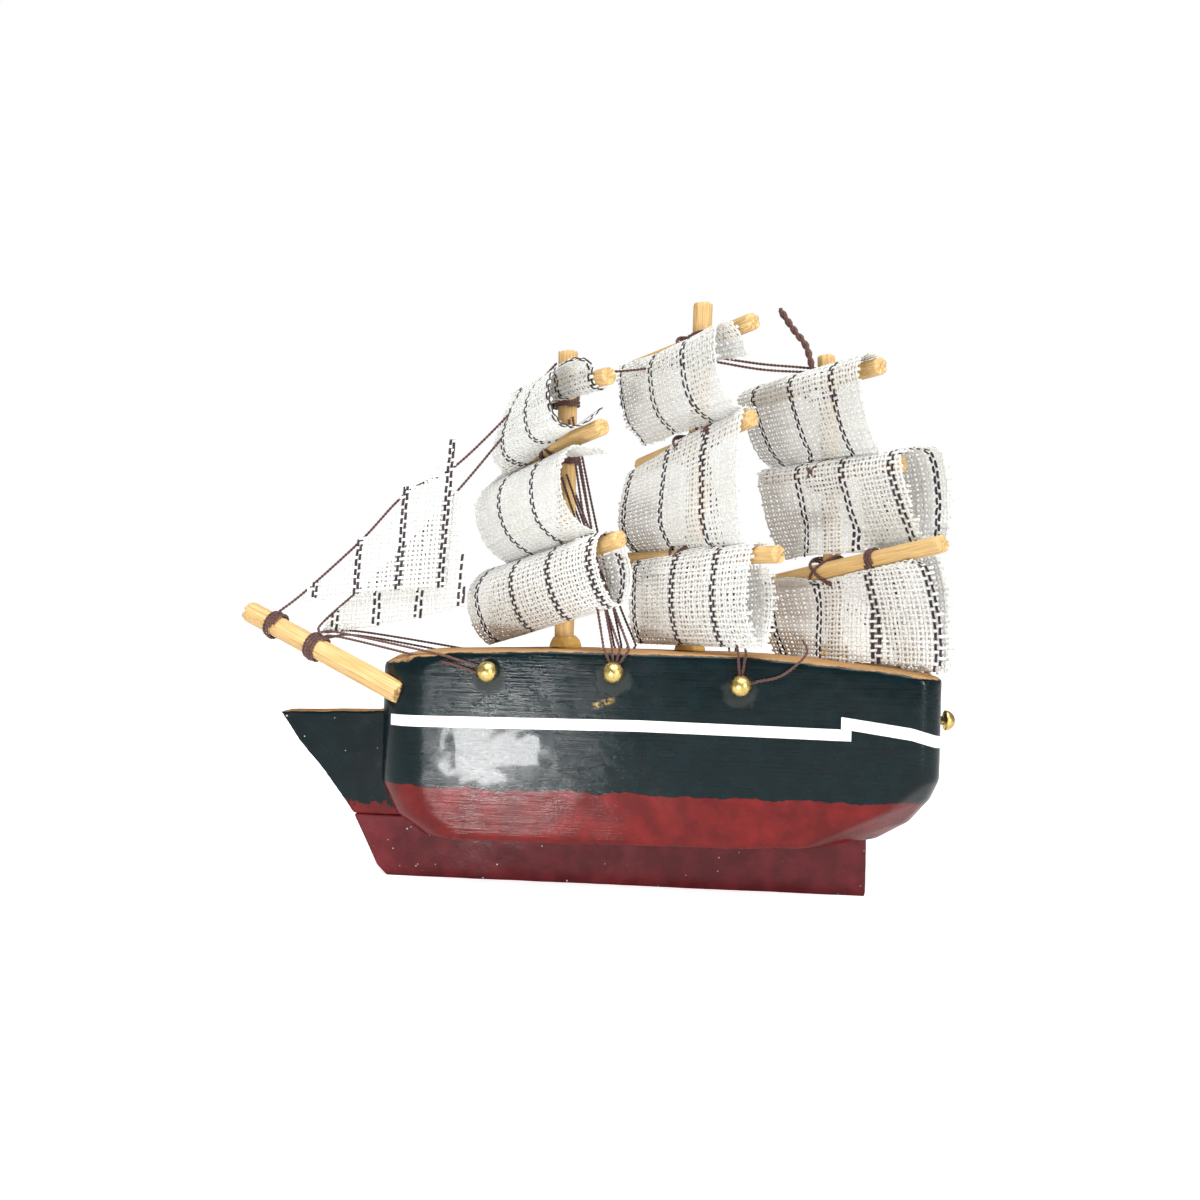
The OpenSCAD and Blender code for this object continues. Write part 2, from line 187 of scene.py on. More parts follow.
# A white backdrop that lights the ship more dimly than it looks
studio = {"fill": 0.34, "seen": 0.66}
world = bpy.data.worlds.new("studio")
bpy.context.scene.world = world
bpy.context.scene.view_settings.view_transform = "Standard"
world.use_nodes = True
sky = world.node_tree
backdrop = sky.nodes["Background"]
backdrop.inputs["Color"].default_value = (1, 1, 1, 1)
seen = put(sky, "ShaderNodeLightPath").outputs["Is Camera Ray"]
sky.links.new(plus(sky, times(sky, seen, studio["seen"]), studio["fill"]), backdrop.inputs["Strength"])


# Brushed gloss paint: long streaks, dust specks and fine orange peel
brushed, entry, leave = shaderGroup("brushedPaint",
    [("Point", "NodeSocketVector", None), ("Streak", "NodeSocketVector", (0.09, 1.0, 2.4)),
     ("Speck Amount", "NodeSocketFloat", 0.045)],
    [("Height", "NodeSocketFloat"), ("Specks", "NodeSocketFloat"), ("Haze", "NodeSocketFloat")])
streakSpot = stretched(brushed, entry.outputs["Point"], entry.outputs["Streak"])
streaks = noiseAt(brushed, streakSpot, 1.3, 4.0, 0.7)
peel = noiseAt(brushed, entry.outputs["Point"], 1.1, 2.0)
speckCells = put(brushed, "ShaderNodeTexVoronoi", {"feature": "F1"}, Vector=entry.outputs["Point"],
    Scale=0.62)
speckSeed = put(brushed, "ShaderNodeSeparateColor", None, Color=speckCells.outputs["Color"])
speckSize = times(brushed, speckSeed.outputs[0], entry.outputs["Speck Amount"])
specks = mapRange(brushed, minus(brushed, speckCells.outputs["Distance"], speckSize), 0.05, 0.0)
small = plus(brushed, times(brushed, peel, 0.3), times(brushed, specks, 0.5))
brushed.links.new(plus(brushed, times(brushed, streaks, 0.75), small), leave.inputs["Height"])
brushed.links.new(times(brushed, specks, mathNode(brushed, "GREATER_THAN", speckSeed.outputs[1], 0.55)),
    leave.inputs["Specks"])
brushed.links.new(mapRange(brushed, noiseAt(brushed, entry.outputs["Point"], 0.16, 4.0), 0.45, 0.75),
    leave.inputs["Haze"])

# Bare wood grain along one axis
grain, entry, leave = shaderGroup("bareGrain",
    [("Point", "NodeSocketVector", None), ("Along", "NodeSocketVector", (0.06, 1.4, 1.4)),
     ("Light", "NodeSocketColor", (0.8, 0.55, 0.3, 1)), ("Dark", "NodeSocketColor", (0.45, 0.25, 0.1, 1))],
    [("Colour", "NodeSocketColor"), ("Height", "NodeSocketFloat")])
grainSpot = stretched(grain, entry.outputs["Point"], entry.outputs["Along"])
fibres = noiseAt(grain, grainSpot, 2.6, 5.0, 0.65)
fibreMask = mapRange(grain, fibres, 0.36, 0.66)
grain.links.new(mixColour(grain, fibreMask, entry.outputs["Dark"], entry.outputs["Light"]),
    leave.inputs["Colour"])
grain.links.new(fibres, leave.inputs["Height"])


def useGroup(tree, group, **sockets):
    made = tree.nodes.new("ShaderNodeGroup")
    made.node_tree = group
    for key, value in sockets.items():
        join(tree, value, made.inputs[key])
    return made


# Paint of the hull, stem and keel

paint = {"black": (0.0012, 0.0085, 0.0105, 1), "red": (0.135, 0.0085, 0.008, 1),
    "keelRed": (0.125, 0.014, 0.018, 1),
    "bare": (0.60, 0.36, 0.16, 1), "bareDark": (0.30, 0.15, 0.06, 1), "dust": (0.75, 0.78, 0.76, 1),
    "ring": (0.06, 0.065, 0.06, 1), "scrape": (0.42, 0.28, 0.07, 1),
    "ringReach": (3.3, 2.6), "ringStrength": 0.35, "ringRoughness": 0.3, "dustStrength": 0.85,
    "roughness": 0.13, "hazeRoughness": 0.14, "deckRoughness": 0.85, "specular": 0.17,
    "coat": 0.15, "coatRoughness": 0.06, "lineWander": 1.6, "lineFine": 0.5, "lineSoft": 0.06,
    "waterline": 14.0, "hullDeck": 29.0, "stemWaterline": 9.7, "stemDeck": 21.6,
    "pins": [(-13.6, 29.3), (2.7, 29.7), (19.0, 28.5)]}
noDeck, allRed = 100.0, 60.0  # heights above the keel board, which has neither bare deck nor black


def hullPaintMaterial(name, waterline, deckLine, red, streak, relief, drip=0.0):
    material, tree, shader = freshMaterial(name)
    point = inMillimetres(tree)
    parts = put(tree, "ShaderNodeSeparateXYZ", None, Vector=point)
    x, z = parts.outputs[0], parts.outputs[2]
    gloss = useGroup(tree, brushed, Point=point, Streak=streak)
    # The line between black and red was painted by hand
    wobble = times(tree, minus(tree, noiseAt(tree, point, 0.22, 3.0), 0.5), paint["lineWander"] + drip)
    fine = times(tree, minus(tree, noiseAt(tree, point, 1.3, 2.0), 0.5), paint["lineFine"] + drip)
    edge = plus(tree, plus(tree, z, wobble), fine)
    redMask = mapRange(tree, edge, waterline + paint["lineSoft"], waterline - paint["lineSoft"])
    colour = mixColour(tree, redMask, paint["black"], red)
    blotch = mapRange(tree, noiseAt(tree, point, 0.35, 3.0), 0.4, 0.7, 0.75, 1.25)
    colour = put(tree, "ShaderNodeHueSaturation", None, Value=blotch, Color=colour).outputs[0]
    # Dull rings of glue round the pins and a yellow scrape below the middle one
    ringMask = None
    for index, (px, pz) in enumerate(paint["pins"]):
        offset = put(tree, "ShaderNodeCombineXYZ", None, X=minus(tree, x, px),
            Z=times(tree, minus(tree, z, pz - 0.9), 1.1)).outputs[0]
        reach = put(tree, "ShaderNodeVectorMath", {"operation": "LENGTH"}, i0=offset).outputs["Value"]
        reach = plus(tree, reach, times(tree, noiseAt(tree, point, 0.9, 3.0), 1.6))
        ring = mapRange(tree, reach, *paint["ringReach"])
        ringMask = ring if ringMask is None else mathNode(tree, "MAXIMUM", ringMask, ring)
        if index == 1:
            scrapeRow = mathNode(tree, "ABSOLUTE", minus(tree, z,
                plus(tree, pz - 3.6, times(tree, minus(tree, x, px), 0.35))))
            scrape = times(tree, mapRange(tree, scrapeRow, 0.55, 0.2),
                mapRange(tree, mathNode(tree, "ABSOLUTE", minus(tree, x, px - 1.2)), 1.6, 0.7))
            scrape = times(tree, scrape, mapRange(tree, noiseAt(tree, point, 1.8, 4.0), 0.42, 0.58))
    side = mapRange(tree, parts.outputs[1], -9.0, -10.0)
    ringMask = times(tree, ringMask, side)
    scrape = times(tree, scrape, side)
    colour = mixColour(tree, times(tree, ringMask, paint["ringStrength"]), colour, paint["ring"])
    colour = mixColour(tree, scrape, colour, paint["scrape"])
    colour = mixColour(tree, times(tree, gloss.outputs["Specks"], paint["dustStrength"]), colour,
        paint["dust"])
    # Bare deck, seen on faces that look up
    facing = put(tree, "ShaderNodeNewGeometry").outputs["Normal"]
    up = put(tree, "ShaderNodeSeparateXYZ", None, Vector=facing)
    ragged = times(tree, minus(tree, noiseAt(tree, point, 0.8, 3.0), 0.5), 0.7)
    rise = plus(tree, up.outputs[2], ragged)
    deck = times(tree, mapRange(tree, rise, 0.62, 0.8), mapRange(tree, z, deckLine - 0.3, deckLine))
    wood = useGroup(tree, grain, Point=point, Along=(0.06, 1.4, 1.4), Light=paint["bare"],
        Dark=paint["bareDark"])
    colour = mixColour(tree, deck, colour, wood.outputs["Colour"])
    tree.links.new(colour, shader.inputs["Base Color"])
    rough = plus(tree, times(tree, gloss.outputs["Haze"], paint["hazeRoughness"]), paint["roughness"])
    rough = plus(tree, rough, times(tree, ringMask, paint["ringRoughness"]))
    rough = mathNode(tree, "MAXIMUM", rough, times(tree, deck, paint["deckRoughness"]))
    tree.links.new(rough, shader.inputs["Roughness"])
    tree.links.new(bump(tree, gloss.outputs["Height"], relief * mm), shader.inputs["Normal"])
    tree.links.new(times(tree, minus(tree, 1.0, deck), paint["coat"]), shader.inputs["Coat Weight"])
    shader.inputs["Specular IOR Level"].default_value = paint["specular"]
    shader.inputs["Coat Roughness"].default_value = paint["coatRoughness"]
    return material


hullPaint = hullPaintMaterial("hullPaint", paint["waterline"], paint["hullDeck"], paint["red"],
    (0.09, 1.0, 2.4), 0.055)
stemPaint = hullPaintMaterial("stemPaint", paint["stemWaterline"], paint["stemDeck"], paint["red"],
    (0.35, 1.0, 0.9), 0.04, drip=1.4)
keelPaint = hullPaintMaterial("keelPaint", allRed, noDeck, paint["keelRed"], (0.8, 1.0, 1.0), 0.04)


# Painted wood, from copies of the CAD bodies with their edges softened

def softenedCopy(name, node, material, voxel, smooth, wave, seed):
    # voxel and wave in millimetres; smooth is the number of smoothing passes
    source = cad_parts[node]
    mesh = source.data.copy()
    mesh.name = name
    piece = linked(name, mesh)
    shape = bmesh.new()
    shape.from_mesh(mesh)
    bmesh.ops.remove_doubles(shape, verts=shape.verts, dist=2e-6)
    shape.to_mesh(mesh)
    shape.free()
    remesh = piece.modifiers.new("remesh", "REMESH")
    remesh.mode = "VOXEL"
    remesh.voxel_size = voxel * mm
    smoothing = piece.modifiers.new("smooth", "SMOOTH")
    smoothing.iterations = smooth
    smoothing.factor = 0.5
    evaluated = piece.evaluated_get(bpy.context.evaluated_depsgraph_get())
    done = bpy.data.meshes.new_from_object(evaluated)
    piece.modifiers.clear()
    piece.data = done
    done.name = name
    # Hand sanding leaves the faces faintly uneven
    outward = [vertex.normal.copy() for vertex in done.vertices]
    for vertex, way in zip(done.vertices, outward):
        spot = vertex.co / mm
        vertex.co += way * mm * wave * (noise.noise(spot * 0.18 + Vector((seed, 0, 0)))
            + 0.35 * noise.noise(spot * 0.6 + Vector((0, seed, 0))))
    done.materials.clear()
    done.materials.append(material)
    done.shade_smooth()
    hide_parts(node)
    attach(piece, "root")


softenedCopy("paintedHull", "hull_block", hullPaint, 0.36, 6, 0.05, 3)
softenedCopy("paintedStem", "stem_piece", stemPaint, 0.22, 3, 0.04, 11)
softenedCopy("paintedKeel", "keel_board", keelPaint, 0.25, 3, 0.05, 19)
print("hull, stem and keel painted")


# White tape

tapeWhite, tree, shader = freshMaterial("tapeWhite")
point = inMillimetres(tree)
grime = mapRange(tree, noiseAt(tree, stretched(tree, point, (0.3, 1, 1.2)), 0.9, 4.0), 0.55, 0.8)
tree.links.new(mixColour(tree, times(tree, grime, 0.3), (0.88, 0.88, 0.87, 1), (0.6, 0.62, 0.6, 1)),
    shader.inputs["Base Color"])
tree.links.new(mapRange(tree, noiseAt(tree, point, 0.6), 0.3, 0.7, 0.38, 0.52), shader.inputs["Roughness"])
tree.links.new(bump(tree, noiseAt(tree, stretched(tree, point, (0.4, 1, 1)), 1.6, 3.0), 0.00006),
    shader.inputs["Normal"])
for node in ("port_stripe", "starboard_stripe", "stern_stripe"):
    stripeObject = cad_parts[node]
    if stripeObject.material_slots:
        for place in stripeObject.material_slots:
            place.material = tapeWhite
    else:
        stripeObject.data.materials.append(tapeWhite)


# Brass pins, turned on a lathe

# The profile is radius and height above the wood, from the point of the shank to the top of the head
pin = {
    "profile": [(0.6, -5.0), (0.6, 0.95), (0.72, 1.02), (1.24, 1.04), (1.38, 1.14), (1.4, 1.3),
        (1.36, 1.52), (1.22, 1.83), (1.0, 2.1), (0.72, 2.31), (0.4, 2.44), (0.15, 2.49)],
    "steps": 40, "sternExtra": 1.2, "sternPlace": (45.2, 0, 24),
    "bright": (0.80, 0.60, 0.22, 1), "tarnished": (0.50, 0.36, 0.12, 1)}

brass, tree, shader = freshMaterial("brass")
point = inMillimetres(tree)
tarnish = mapRange(tree, noiseAt(tree, point, 0.9, 4.0), 0.4, 0.7)
tree.links.new(mixColour(tree, tarnish, pin["bright"], pin["tarnished"]), shader.inputs["Base Color"])
tree.links.new(mapRange(tree, noiseAt(tree, point, 2.2, 3.0), 0.3, 0.7, 0.2, 0.38),
    shader.inputs["Roughness"])
tree.links.new(bump(tree, noiseAt(tree, point, 3.5, 3.0), 0.00004), shader.inputs["Normal"])
shader.inputs["Metallic"].default_value = 1.0


def turnedPins(name, node, places, extra=0.0):
    shape = bmesh.new()
    for place, outward in places:
        facing = Vector(outward).to_track_quat("Z", "Y").to_matrix()
        rings = []
        for radius, height in pin["profile"]:
            height += extra if height > 0 else 0
            turns = [2 * math.pi * k / pin["steps"] for k in range(pin["steps"])]
            rings.append([shape.verts.new((Vector(place)
                + facing @ Vector((radius * math.cos(a), radius * math.sin(a), height))) * mm)
                for a in turns])
        for low, high in zip(rings, rings[1:]):
            for k in range(pin["steps"]):
                j = (k + 1) % pin["steps"]
                shape.faces.new((low[k], low[j], high[j], high[k]))
        shape.faces.new(list(reversed(rings[0])))
        shape.faces.new(rings[-1])
    meshPiece(name, shape, brass, [node])


def meshPiece(name, shape, material, nodes):
    bmesh.ops.recalc_face_normals(shape, faces=shape.faces)
    mesh = bpy.data.meshes.new(name)
    shape.to_mesh(mesh)
    shape.free()
    mesh.materials.append(material)
    mesh.shade_smooth()
    piece = linked(name, mesh)
    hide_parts(*nodes)
    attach(piece, "root")


halfBeam = 11.0
turnedPins("portPins", "port_pins", [((x, -halfBeam, z), (0, -1, 0)) for x, z in paint["pins"]])
turnedPins("starboardPins", "starboard_pins", [((x, halfBeam, z), (0, 1, 0)) for x, z in paint["pins"]])
turnedPins("sternPin", "stern_pin", [(pin["sternPlace"], (1, 0, 0))], pin["sternExtra"])
print("pins turned")


# Bamboo spars

masts = {"fore": {"foot": (-4.8, 24.4), "top": (-5.5, 73.8), "d": 2.8},
    "main": {"foot": (12.6, 24.4), "top": (13.1, 80.6), "d": 2.8},
    "mizzen": {"foot": (33.0, 23.6), "top": (30.2, 73.6), "d": 2.5}}
yardD = 2.3
# Each yard: its mast, height, slew and rise in degrees, and its reach to port and to starboard
yards = {"fore_upper": ("fore", 68.0, 38, -1.5, 14.1, 7.7), "fore_middle": ("fore", 60.0, 38, 6, 12.7,
    12.5),
    "fore_lower": ("fore", 43.9, 40, 10, 16.3, 15), "main_upper": ("main", 74.2, 38, 3, 13.5, 13),
    "main_middle": ("main", 60.4, 38, 8.6, 14.2, 10), "main_lower": ("main", 45.2, 40, -0.3, 19, 12),
    "mizzen_upper": ("mizzen", 69.4, 36, 1, 12.2, 12), "mizzen_middle": ("mizzen", 57.2, 38, -1, 14.6,
        10.3),
    "mizzen_lower": ("mizzen", 43.8, 38, 8.4, 20.5, 9)}
bowsprit = {"tip": Vector((-49.3, -2, 36.2)), "butt": Vector((-25.6, -9.6, 26)), "d": 3.1}
spar = {"around": 40, "step": 0.55, "outOfRound": 0.035, "grooves": 0.05, "ragged": 0.28,
    "pale": (0.84, 0.60, 0.28, 1), "dark": (0.62, 0.36, 0.12, 1), "fibre": (0.32, 0.16, 0.05, 1)}


def mastAt(name, z):
    mast = masts[name]
    f = (z - mast["foot"][1]) / (mast["top"][1] - mast["foot"][1])
    return Vector((mast["foot"][0] + f * (mast["top"][0] - mast["foot"][0]), 0, z))


def yardFrame(name):
    # Middle of the yard where it crosses its mast, the way to port along it, and the way forward
    mast, z, slew = yards[name][:3]
    turn = math.radians(slew)
    forward = Vector((-math.cos(turn), -math.sin(turn), 0))
    port = Vector((math.sin(turn), -math.cos(turn), 0))
    return mastAt(mast, z) + forward * (masts[mast]["d"] + yardD) / 2, port, forward


def yardAlong(name, port):
    # The way to port along a yard, with its rise
    rise = math.radians(yards[name][3])
    return port * math.cos(rise) + Vector((0, 0, math.sin(rise)))


def pieceName(name, kind):
    first, second = name.split("_")
    return first + second.title() + kind


bamboo, tree, shader = freshMaterial("bamboo")
rod = put(tree, "ShaderNodeUVMap", {"uv_map": "grain"}).outputs[0]
rod = scaled(tree, rod, 1 / mm)
grown = useGroup(tree, grain, Point=rod, Along=(1.5, 0.05, 1.0), Light=spar["pale"], Dark=spar["dark"])
# A few dark fibres run the length of the rod
fibre = mapRange(tree, noiseAt(tree, stretched(tree, rod, (3.2, 0.05, 1)), 1.0, 2.0), 0.6, 0.68)
tree.links.new(mixColour(tree, times(tree, fibre, 0.55), grown.outputs["Colour"],
    spar["fibre"]), shader.inputs["Base Color"])
tree.links.new(mapRange(tree, grown.outputs["Height"], 0.3, 0.7, 0.38, 0.6), shader.inputs["Roughness"])
tree.links.new(bump(tree, grown.outputs["Height"], 0.00022), shader.inputs["Normal"])


def cutSpar(name, node, start, end, d, seed, ragged=None):
    # A split bamboo rod: nearly round, long shallow grooves, ends broken along the fibres
    start, end = Vector(start), Vector(end)
    axis = (end - start).normalized()
    across = axis.orthogonal().normalized()
    other = axis.cross(across)
    length = (end - start).length
    count = max(4, int(length / spar["step"]))
    around = spar["around"]
    ragged = spar["ragged"] if ragged is None else ragged
    shape = bmesh.new()
    uv = shape.loops.layers.uv.new("grain")
    places = {}

    def radiusAt(k, along):
        a = 2 * math.pi * k / around
        way = Vector((math.cos(a), math.sin(a), 0))
        return d / 2 * (1 - spar["outOfRound"] + spar["outOfRound"]
            * noise.noise(way * 0.9 + Vector((seed, 0, along * 0.04)))
            + spar["grooves"] * min(0, noise.noise(way * 4.5 + Vector((seed, 5, along * 0.02)))))

    def ringAt(along, scale, jag):
        ring = []
        for k in range(around):
            a = 2 * math.pi * k / around
            r = radiusAt(k, along) * scale
            way = across * math.cos(a) + other * math.sin(a)
            torn = jag * ragged * noise.noise(way * r * 2.4 + Vector((seed * 1.7, along, 0)))
            vertex = shape.verts.new((start + axis * (along + torn) + way * r) * mm)
            places[vertex] = (k * math.pi * d / around, along + torn)
            ring.append(vertex)
        return ring

    caps = (0.96, 0.86, 0.7, 0.52, 0.34, 0.16)
    inset = ragged * 0.6
    rings = [ringAt(inset * 0.4, scale, 1.0) for scale in reversed(caps)]
    rings += [ringAt(inset + (length - 2 * inset) * i / count, 1.0, 1.0 if i in (0, count) else 0.0)
        for i in range(count + 1)]
    rings += [ringAt(length - inset * 0.4, scale, 1.0) for scale in caps]
    for low, high in zip(rings, rings[1:]):
        for k in range(around):
            j = (k + 1) % around
            face = shape.faces.new((low[k], low[j], high[j], high[k]))
            for loop in face.loops:
                u, v = places[loop.vert]
                if j == 0 and loop.vert in (low[j], high[j]):
                    u = math.pi * d
                loop[uv].uv = (u * mm, v * mm)
    shape.faces.new(list(reversed(rings[0])))
    shape.faces.new(rings[-1])
    meshPiece(name, shape, bamboo, [node])


for seed, (name, mast) in enumerate(masts.items()):
    cutSpar(name + "Mast", name + "_mast", (mast["foot"][0], 0, mast["foot"][1]),
        (mast["top"][0], 0, mast["top"][1]),
        mast["d"], 3 + 5 * seed)
for seed, name in enumerate(yards):
    centre, port, forward = yardFrame(name)
    along = yardAlong(name, port)
    cutSpar(pieceName(name, "Yard"), name + "_yard", centre - along * yards[name][5],
        centre + along * yards[name][4], yardD, 31 + 7 * seed)
cutSpar("bowspritRod", "bowsprit", bowsprit["tip"], bowsprit["butt"], bowsprit["d"], 77, 0.5)
print("spars cut")


# Geometry nodes

def nodeTree(name, inputs):
    tree = bpy.data.node_groups.new(name, "GeometryNodeTree")
    tree.interface.new_socket("Geometry", in_out="INPUT", socket_type="NodeSocketGeometry")
    addInputs(tree, inputs)
    tree.interface.new_socket("Geometry", in_out="OUTPUT", socket_type="NodeSocketGeometry")
    return tree, tree.nodes.new("NodeGroupInput").outputs, tree.nodes.new("NodeGroupOutput").inputs


def grow(piece, tree, settings):
    # Runs a node tree on a piece and returns the mesh that it makes
    modifier = piece.modifiers.new(tree.name, "NODES")
    modifier.node_group = tree
    for item in tree.interface.items_tree:
        if item.item_type == "SOCKET" and item.in_out == "INPUT" and item.name in settings:
            modifier[item.identifier] = settings[item.name]
    evaluated = piece.evaluated_get(bpy.context.evaluated_depsgraph_get())
    mesh = bpy.data.meshes.new_from_object(evaluated)
    piece.modifiers.clear()
    return mesh


def vector(tree, x=0.0, y=0.0, z=0.0):
    return put(tree, "ShaderNodeCombineXYZ", None, X=x, Y=y, Z=z).outputs[0]


def position(tree):
    return put(tree, "GeometryNodeInputPosition").outputs[0]


def splitPosition(tree):
    return put(tree, "ShaderNodeSeparateXYZ", None, Vector=position(tree)).outputs


def attributeNode(tree, name, kind="FLOAT_VECTOR"):
    return put(tree, "GeometryNodeInputNamedAttribute", {"data_type": kind}, Name=name).outputs[0]


# Plain weave on a guide surface. Each yarn starts as a straight line in the flat cloth, where x runs
# across the warp and y along it, is cut where the cloth ends, gets its over and under, and is then
# carried onto the surface.
weave, given, result = nodeTree("plainWeave", [
    ("Warp Yarns", "NodeSocketInt", 40), ("Weft Yarns", "NodeSocketInt", 30),
    ("Warp Pitch", "NodeSocketFloat", 0.62 * mm), ("Weft Pitch", "NodeSocketFloat", 0.68 * mm),
    ("Guide Width", "NodeSocketFloat", 0.02), ("Guide Length", "NodeSocketFloat", 0.02),
    ("Yarn Width", "NodeSocketFloat", 0.44 * mm), ("Yarn Thickness", "NodeSocketFloat", 0.18 * mm),
    ("Crimp", "NodeSocketFloat", 0.08 * mm), ("Fray", "NodeSocketFloat", 0.7 * mm),
    ("Stripe Every", "NodeSocketFloat", 14.0), ("Stripe Start", "NodeSocketFloat", 4.0),
    ("Points Each", "NodeSocketFloat", 3.0), ("Seed", "NodeSocketInt", 1),
    ("Cloth", "NodeSocketMaterial", None)])


# How far yarns lie in pairs and wander, as parts of their pitch, and the number of the first weft yarn
weaving = {"pairing": 0.16, "drift": 0.5, "driftAlong": 420.0, "firstWeft": 500.0}


def sampleGuide(tree, guide, value, uv, kind="FLOAT_VECTOR"):
    made = put(tree, "GeometryNodeSampleUVSurface", {"data_type": kind})
    tree.links.new(guide, made.inputs["Mesh"])
    tree.links.new(value, made.inputs["Value"])
    tree.links.new(attributeNode(tree, "cloth"), made.inputs[2])
    tree.links.new(uv, made.inputs["Sample UV"])
    return made.outputs[0]


def yarnSet(tree, warp):
    # One set of yarns, the warp or the weft
    own, other = ("Warp", "Weft") if warp else ("Weft", "Warp")
    count, crossing = given[own + " Yarns"], given[other + " Yarns"]
    pitch, otherPitch = given[own + " Pitch"], given[other + " Pitch"]
    run = put(tree, "GeometryNodeMeshLine", None, Count=count, Offset=(1, 0, 0)).outputs[0]
    single = put(tree, "GeometryNodeCurvePrimitiveLine", None, Start=(0, 0, 0), End=(0, 1, 0)).outputs[0]
    points = times(tree, crossing, given["Points Each"])
    single = put(tree, "GeometryNodeResampleCurve", None, Curve=single, Count=points).outputs[0]
    yarns = put(tree, "GeometryNodeInstanceOnPoints", None, Points=run, Instance=single).outputs[0]
    yarns = put(tree, "GeometryNodeRealizeInstances", None, Geometry=yarns).outputs[0]
    spot = splitPosition(tree)
    number = mathNode(tree, "ROUND", spot[0])
    identity = plus(tree, number, 0.0 if warp else weaving["firstWeft"])
    # Warp yarns came through the reed in pairs, so they lie in pairs
    paired = times(tree, minus(tree, mathNode(tree, "PINGPONG", number, 1.0), 0.5),
        weaving["pairing"] if warp else 0.0)
    along = times(tree, spot[1], times(tree, crossing, otherPitch))
    ownPlace = plus(tree, times(tree, identity, 3.7), times(tree, given["Seed"], 91.0))
    drift = put(tree, "ShaderNodeTexNoise", {"noise_dimensions": "2D"}, Scale=1.0, Detail=1.0,
        Vector=vector(tree, ownPlace, times(tree, along, weaving["driftAlong"]))).outputs[0]
    drift = times(tree, minus(tree, drift, 0.5), weaving["drift"])
    across = times(tree, plus(tree, plus(tree, number, paired), drift), pitch)
    step = mathNode(tree, "DIVIDE", along, otherPitch)
    wave = mathNode(tree, "COSINE", times(tree, minus(tree, step, number), math.pi))
    height = times(tree, times(tree, wave, given["Crimp"]), 1.0 if warp else -1.0)
    flat = vector(tree, across, along, height) if warp else vector(tree, along, across, height)
    dark = 0.0
    if warp:
        turn = mathNode(tree, "FLOORED_MODULO", minus(tree, number, given["Stripe Start"]),
            given["Stripe Every"])
        dark = mathNode(tree, "LESS_THAN", turn, 1.5)
    for label, value in (("dark", dark), ("yarn", identity)):
        yarns = put(tree, "GeometryNodeStoreNamedAttribute", {"data_type": "FLOAT", "domain": "POINT"},
            Geometry=yarns, Name=label, Value=value).outputs[0]
    yarns = put(tree, "GeometryNodeSetPosition", None, Geometry=yarns, Position=flat).outputs[0]
    # Cut to the cloth's outline, a little further for some yarns than for others
    inside = sampleGuide(tree, given["Geometry"], attributeNode(tree, "inside", "FLOAT"), flatUv(tree),
        "FLOAT")
    ownPlace = vector(tree, attributeNode(tree, "yarn", "FLOAT"), given["Seed"])
    loose = put(tree, "ShaderNodeTexWhiteNoise", {"noise_dimensions": "2D"}, Vector=ownPlace).outputs[0]
    limit = times(tree, times(tree, loose, loose), given["Fray"])
    gone = mathNode(tree, "LESS_THAN", plus(tree, inside, limit), 0.0)
    yarns = put(tree, "GeometryNodeDeleteGeometry", {"domain": "POINT"}, Geometry=yarns,
        Selection=gone).outputs[0]
    yarns = put(tree, "GeometryNodeSetCurveNormal", {"mode": "Z_UP"}, Curve=yarns).outputs[0]
    profile = put(tree, "GeometryNodeCurvePrimitiveCircle", None, Resolution=6, Radius=0.5).outputs[0]
    profile = put(tree, "GeometryNodeTransform", None, Geometry=profile,
        Scale=vector(tree, given["Yarn Width"], given["Yarn Thickness"], 1.0)).outputs[0]
    return put(tree, "GeometryNodeCurveToMesh", {}, Curve=yarns,
        **{"Profile Curve": profile, "Fill Caps": True}).outputs[0]


def flatUv(tree):
    # Position in the flat cloth as a place on the guide's own map
    spot = splitPosition(tree)
    return vector(tree, mathNode(tree, "DIVIDE", spot[0], given["Guide Width"], clamp=True),
        mathNode(tree, "DIVIDE", spot[1], given["Guide Length"], clamp=True))


both = put(weave, "GeometryNodeJoinGeometry")
weave.links.new(yarnSet(weave, False), both.inputs[0])
weave.links.new(yarnSet(weave, True), both.inputs[0])
base = sampleGuide(weave, given["Geometry"], position(weave), flatUv(weave))
lift = sampleGuide(weave, given["Geometry"], attributeNode(weave, "up"), flatUv(weave))
raised = scaled(weave, lift, splitPosition(weave)[2])
laid = put(weave, "GeometryNodeSetPosition", None, Geometry=both.outputs[0],
    Position=added(weave, base, raised)).outputs[0]
laid = put(weave, "GeometryNodeRealizeInstances", None, Geometry=laid).outputs[0]
laid = put(weave, "GeometryNodeSetMaterial", None, Geometry=laid, Material=given["Cloth"]).outputs[0]
weave.links.new(laid, result[0])


# Two plies laid up round a path
twine, given, result = nodeTree("twoPly", [
    ("Ply Radius", "NodeSocketFloat", 0.13 * mm), ("Lay", "NodeSocketFloat", 1.15 * mm),
    ("Step", "NodeSocketFloat", 0.16 * mm), ("Thread", "NodeSocketMaterial", None)])
route = put(twine, "GeometryNodeMeshToCurve", None, Mesh=given["Geometry"]).outputs[0]
route = put(twine, "GeometryNodeResampleCurve", {"mode": "LENGTH"}, Curve=route,
    Length=given["Step"]).outputs[0]
travelled = put(twine, "GeometryNodeSplineParameter").outputs["Length"]
sideways = put(twine, "GeometryNodeInputNormal").outputs[0]
onward = put(twine, "GeometryNodeInputTangent").outputs[0]
upward = put(twine, "ShaderNodeVectorMath", {"operation": "CROSS_PRODUCT"}, i0=onward,
    i1=sideways).outputs[0]
plies = put(twine, "GeometryNodeJoinGeometry")
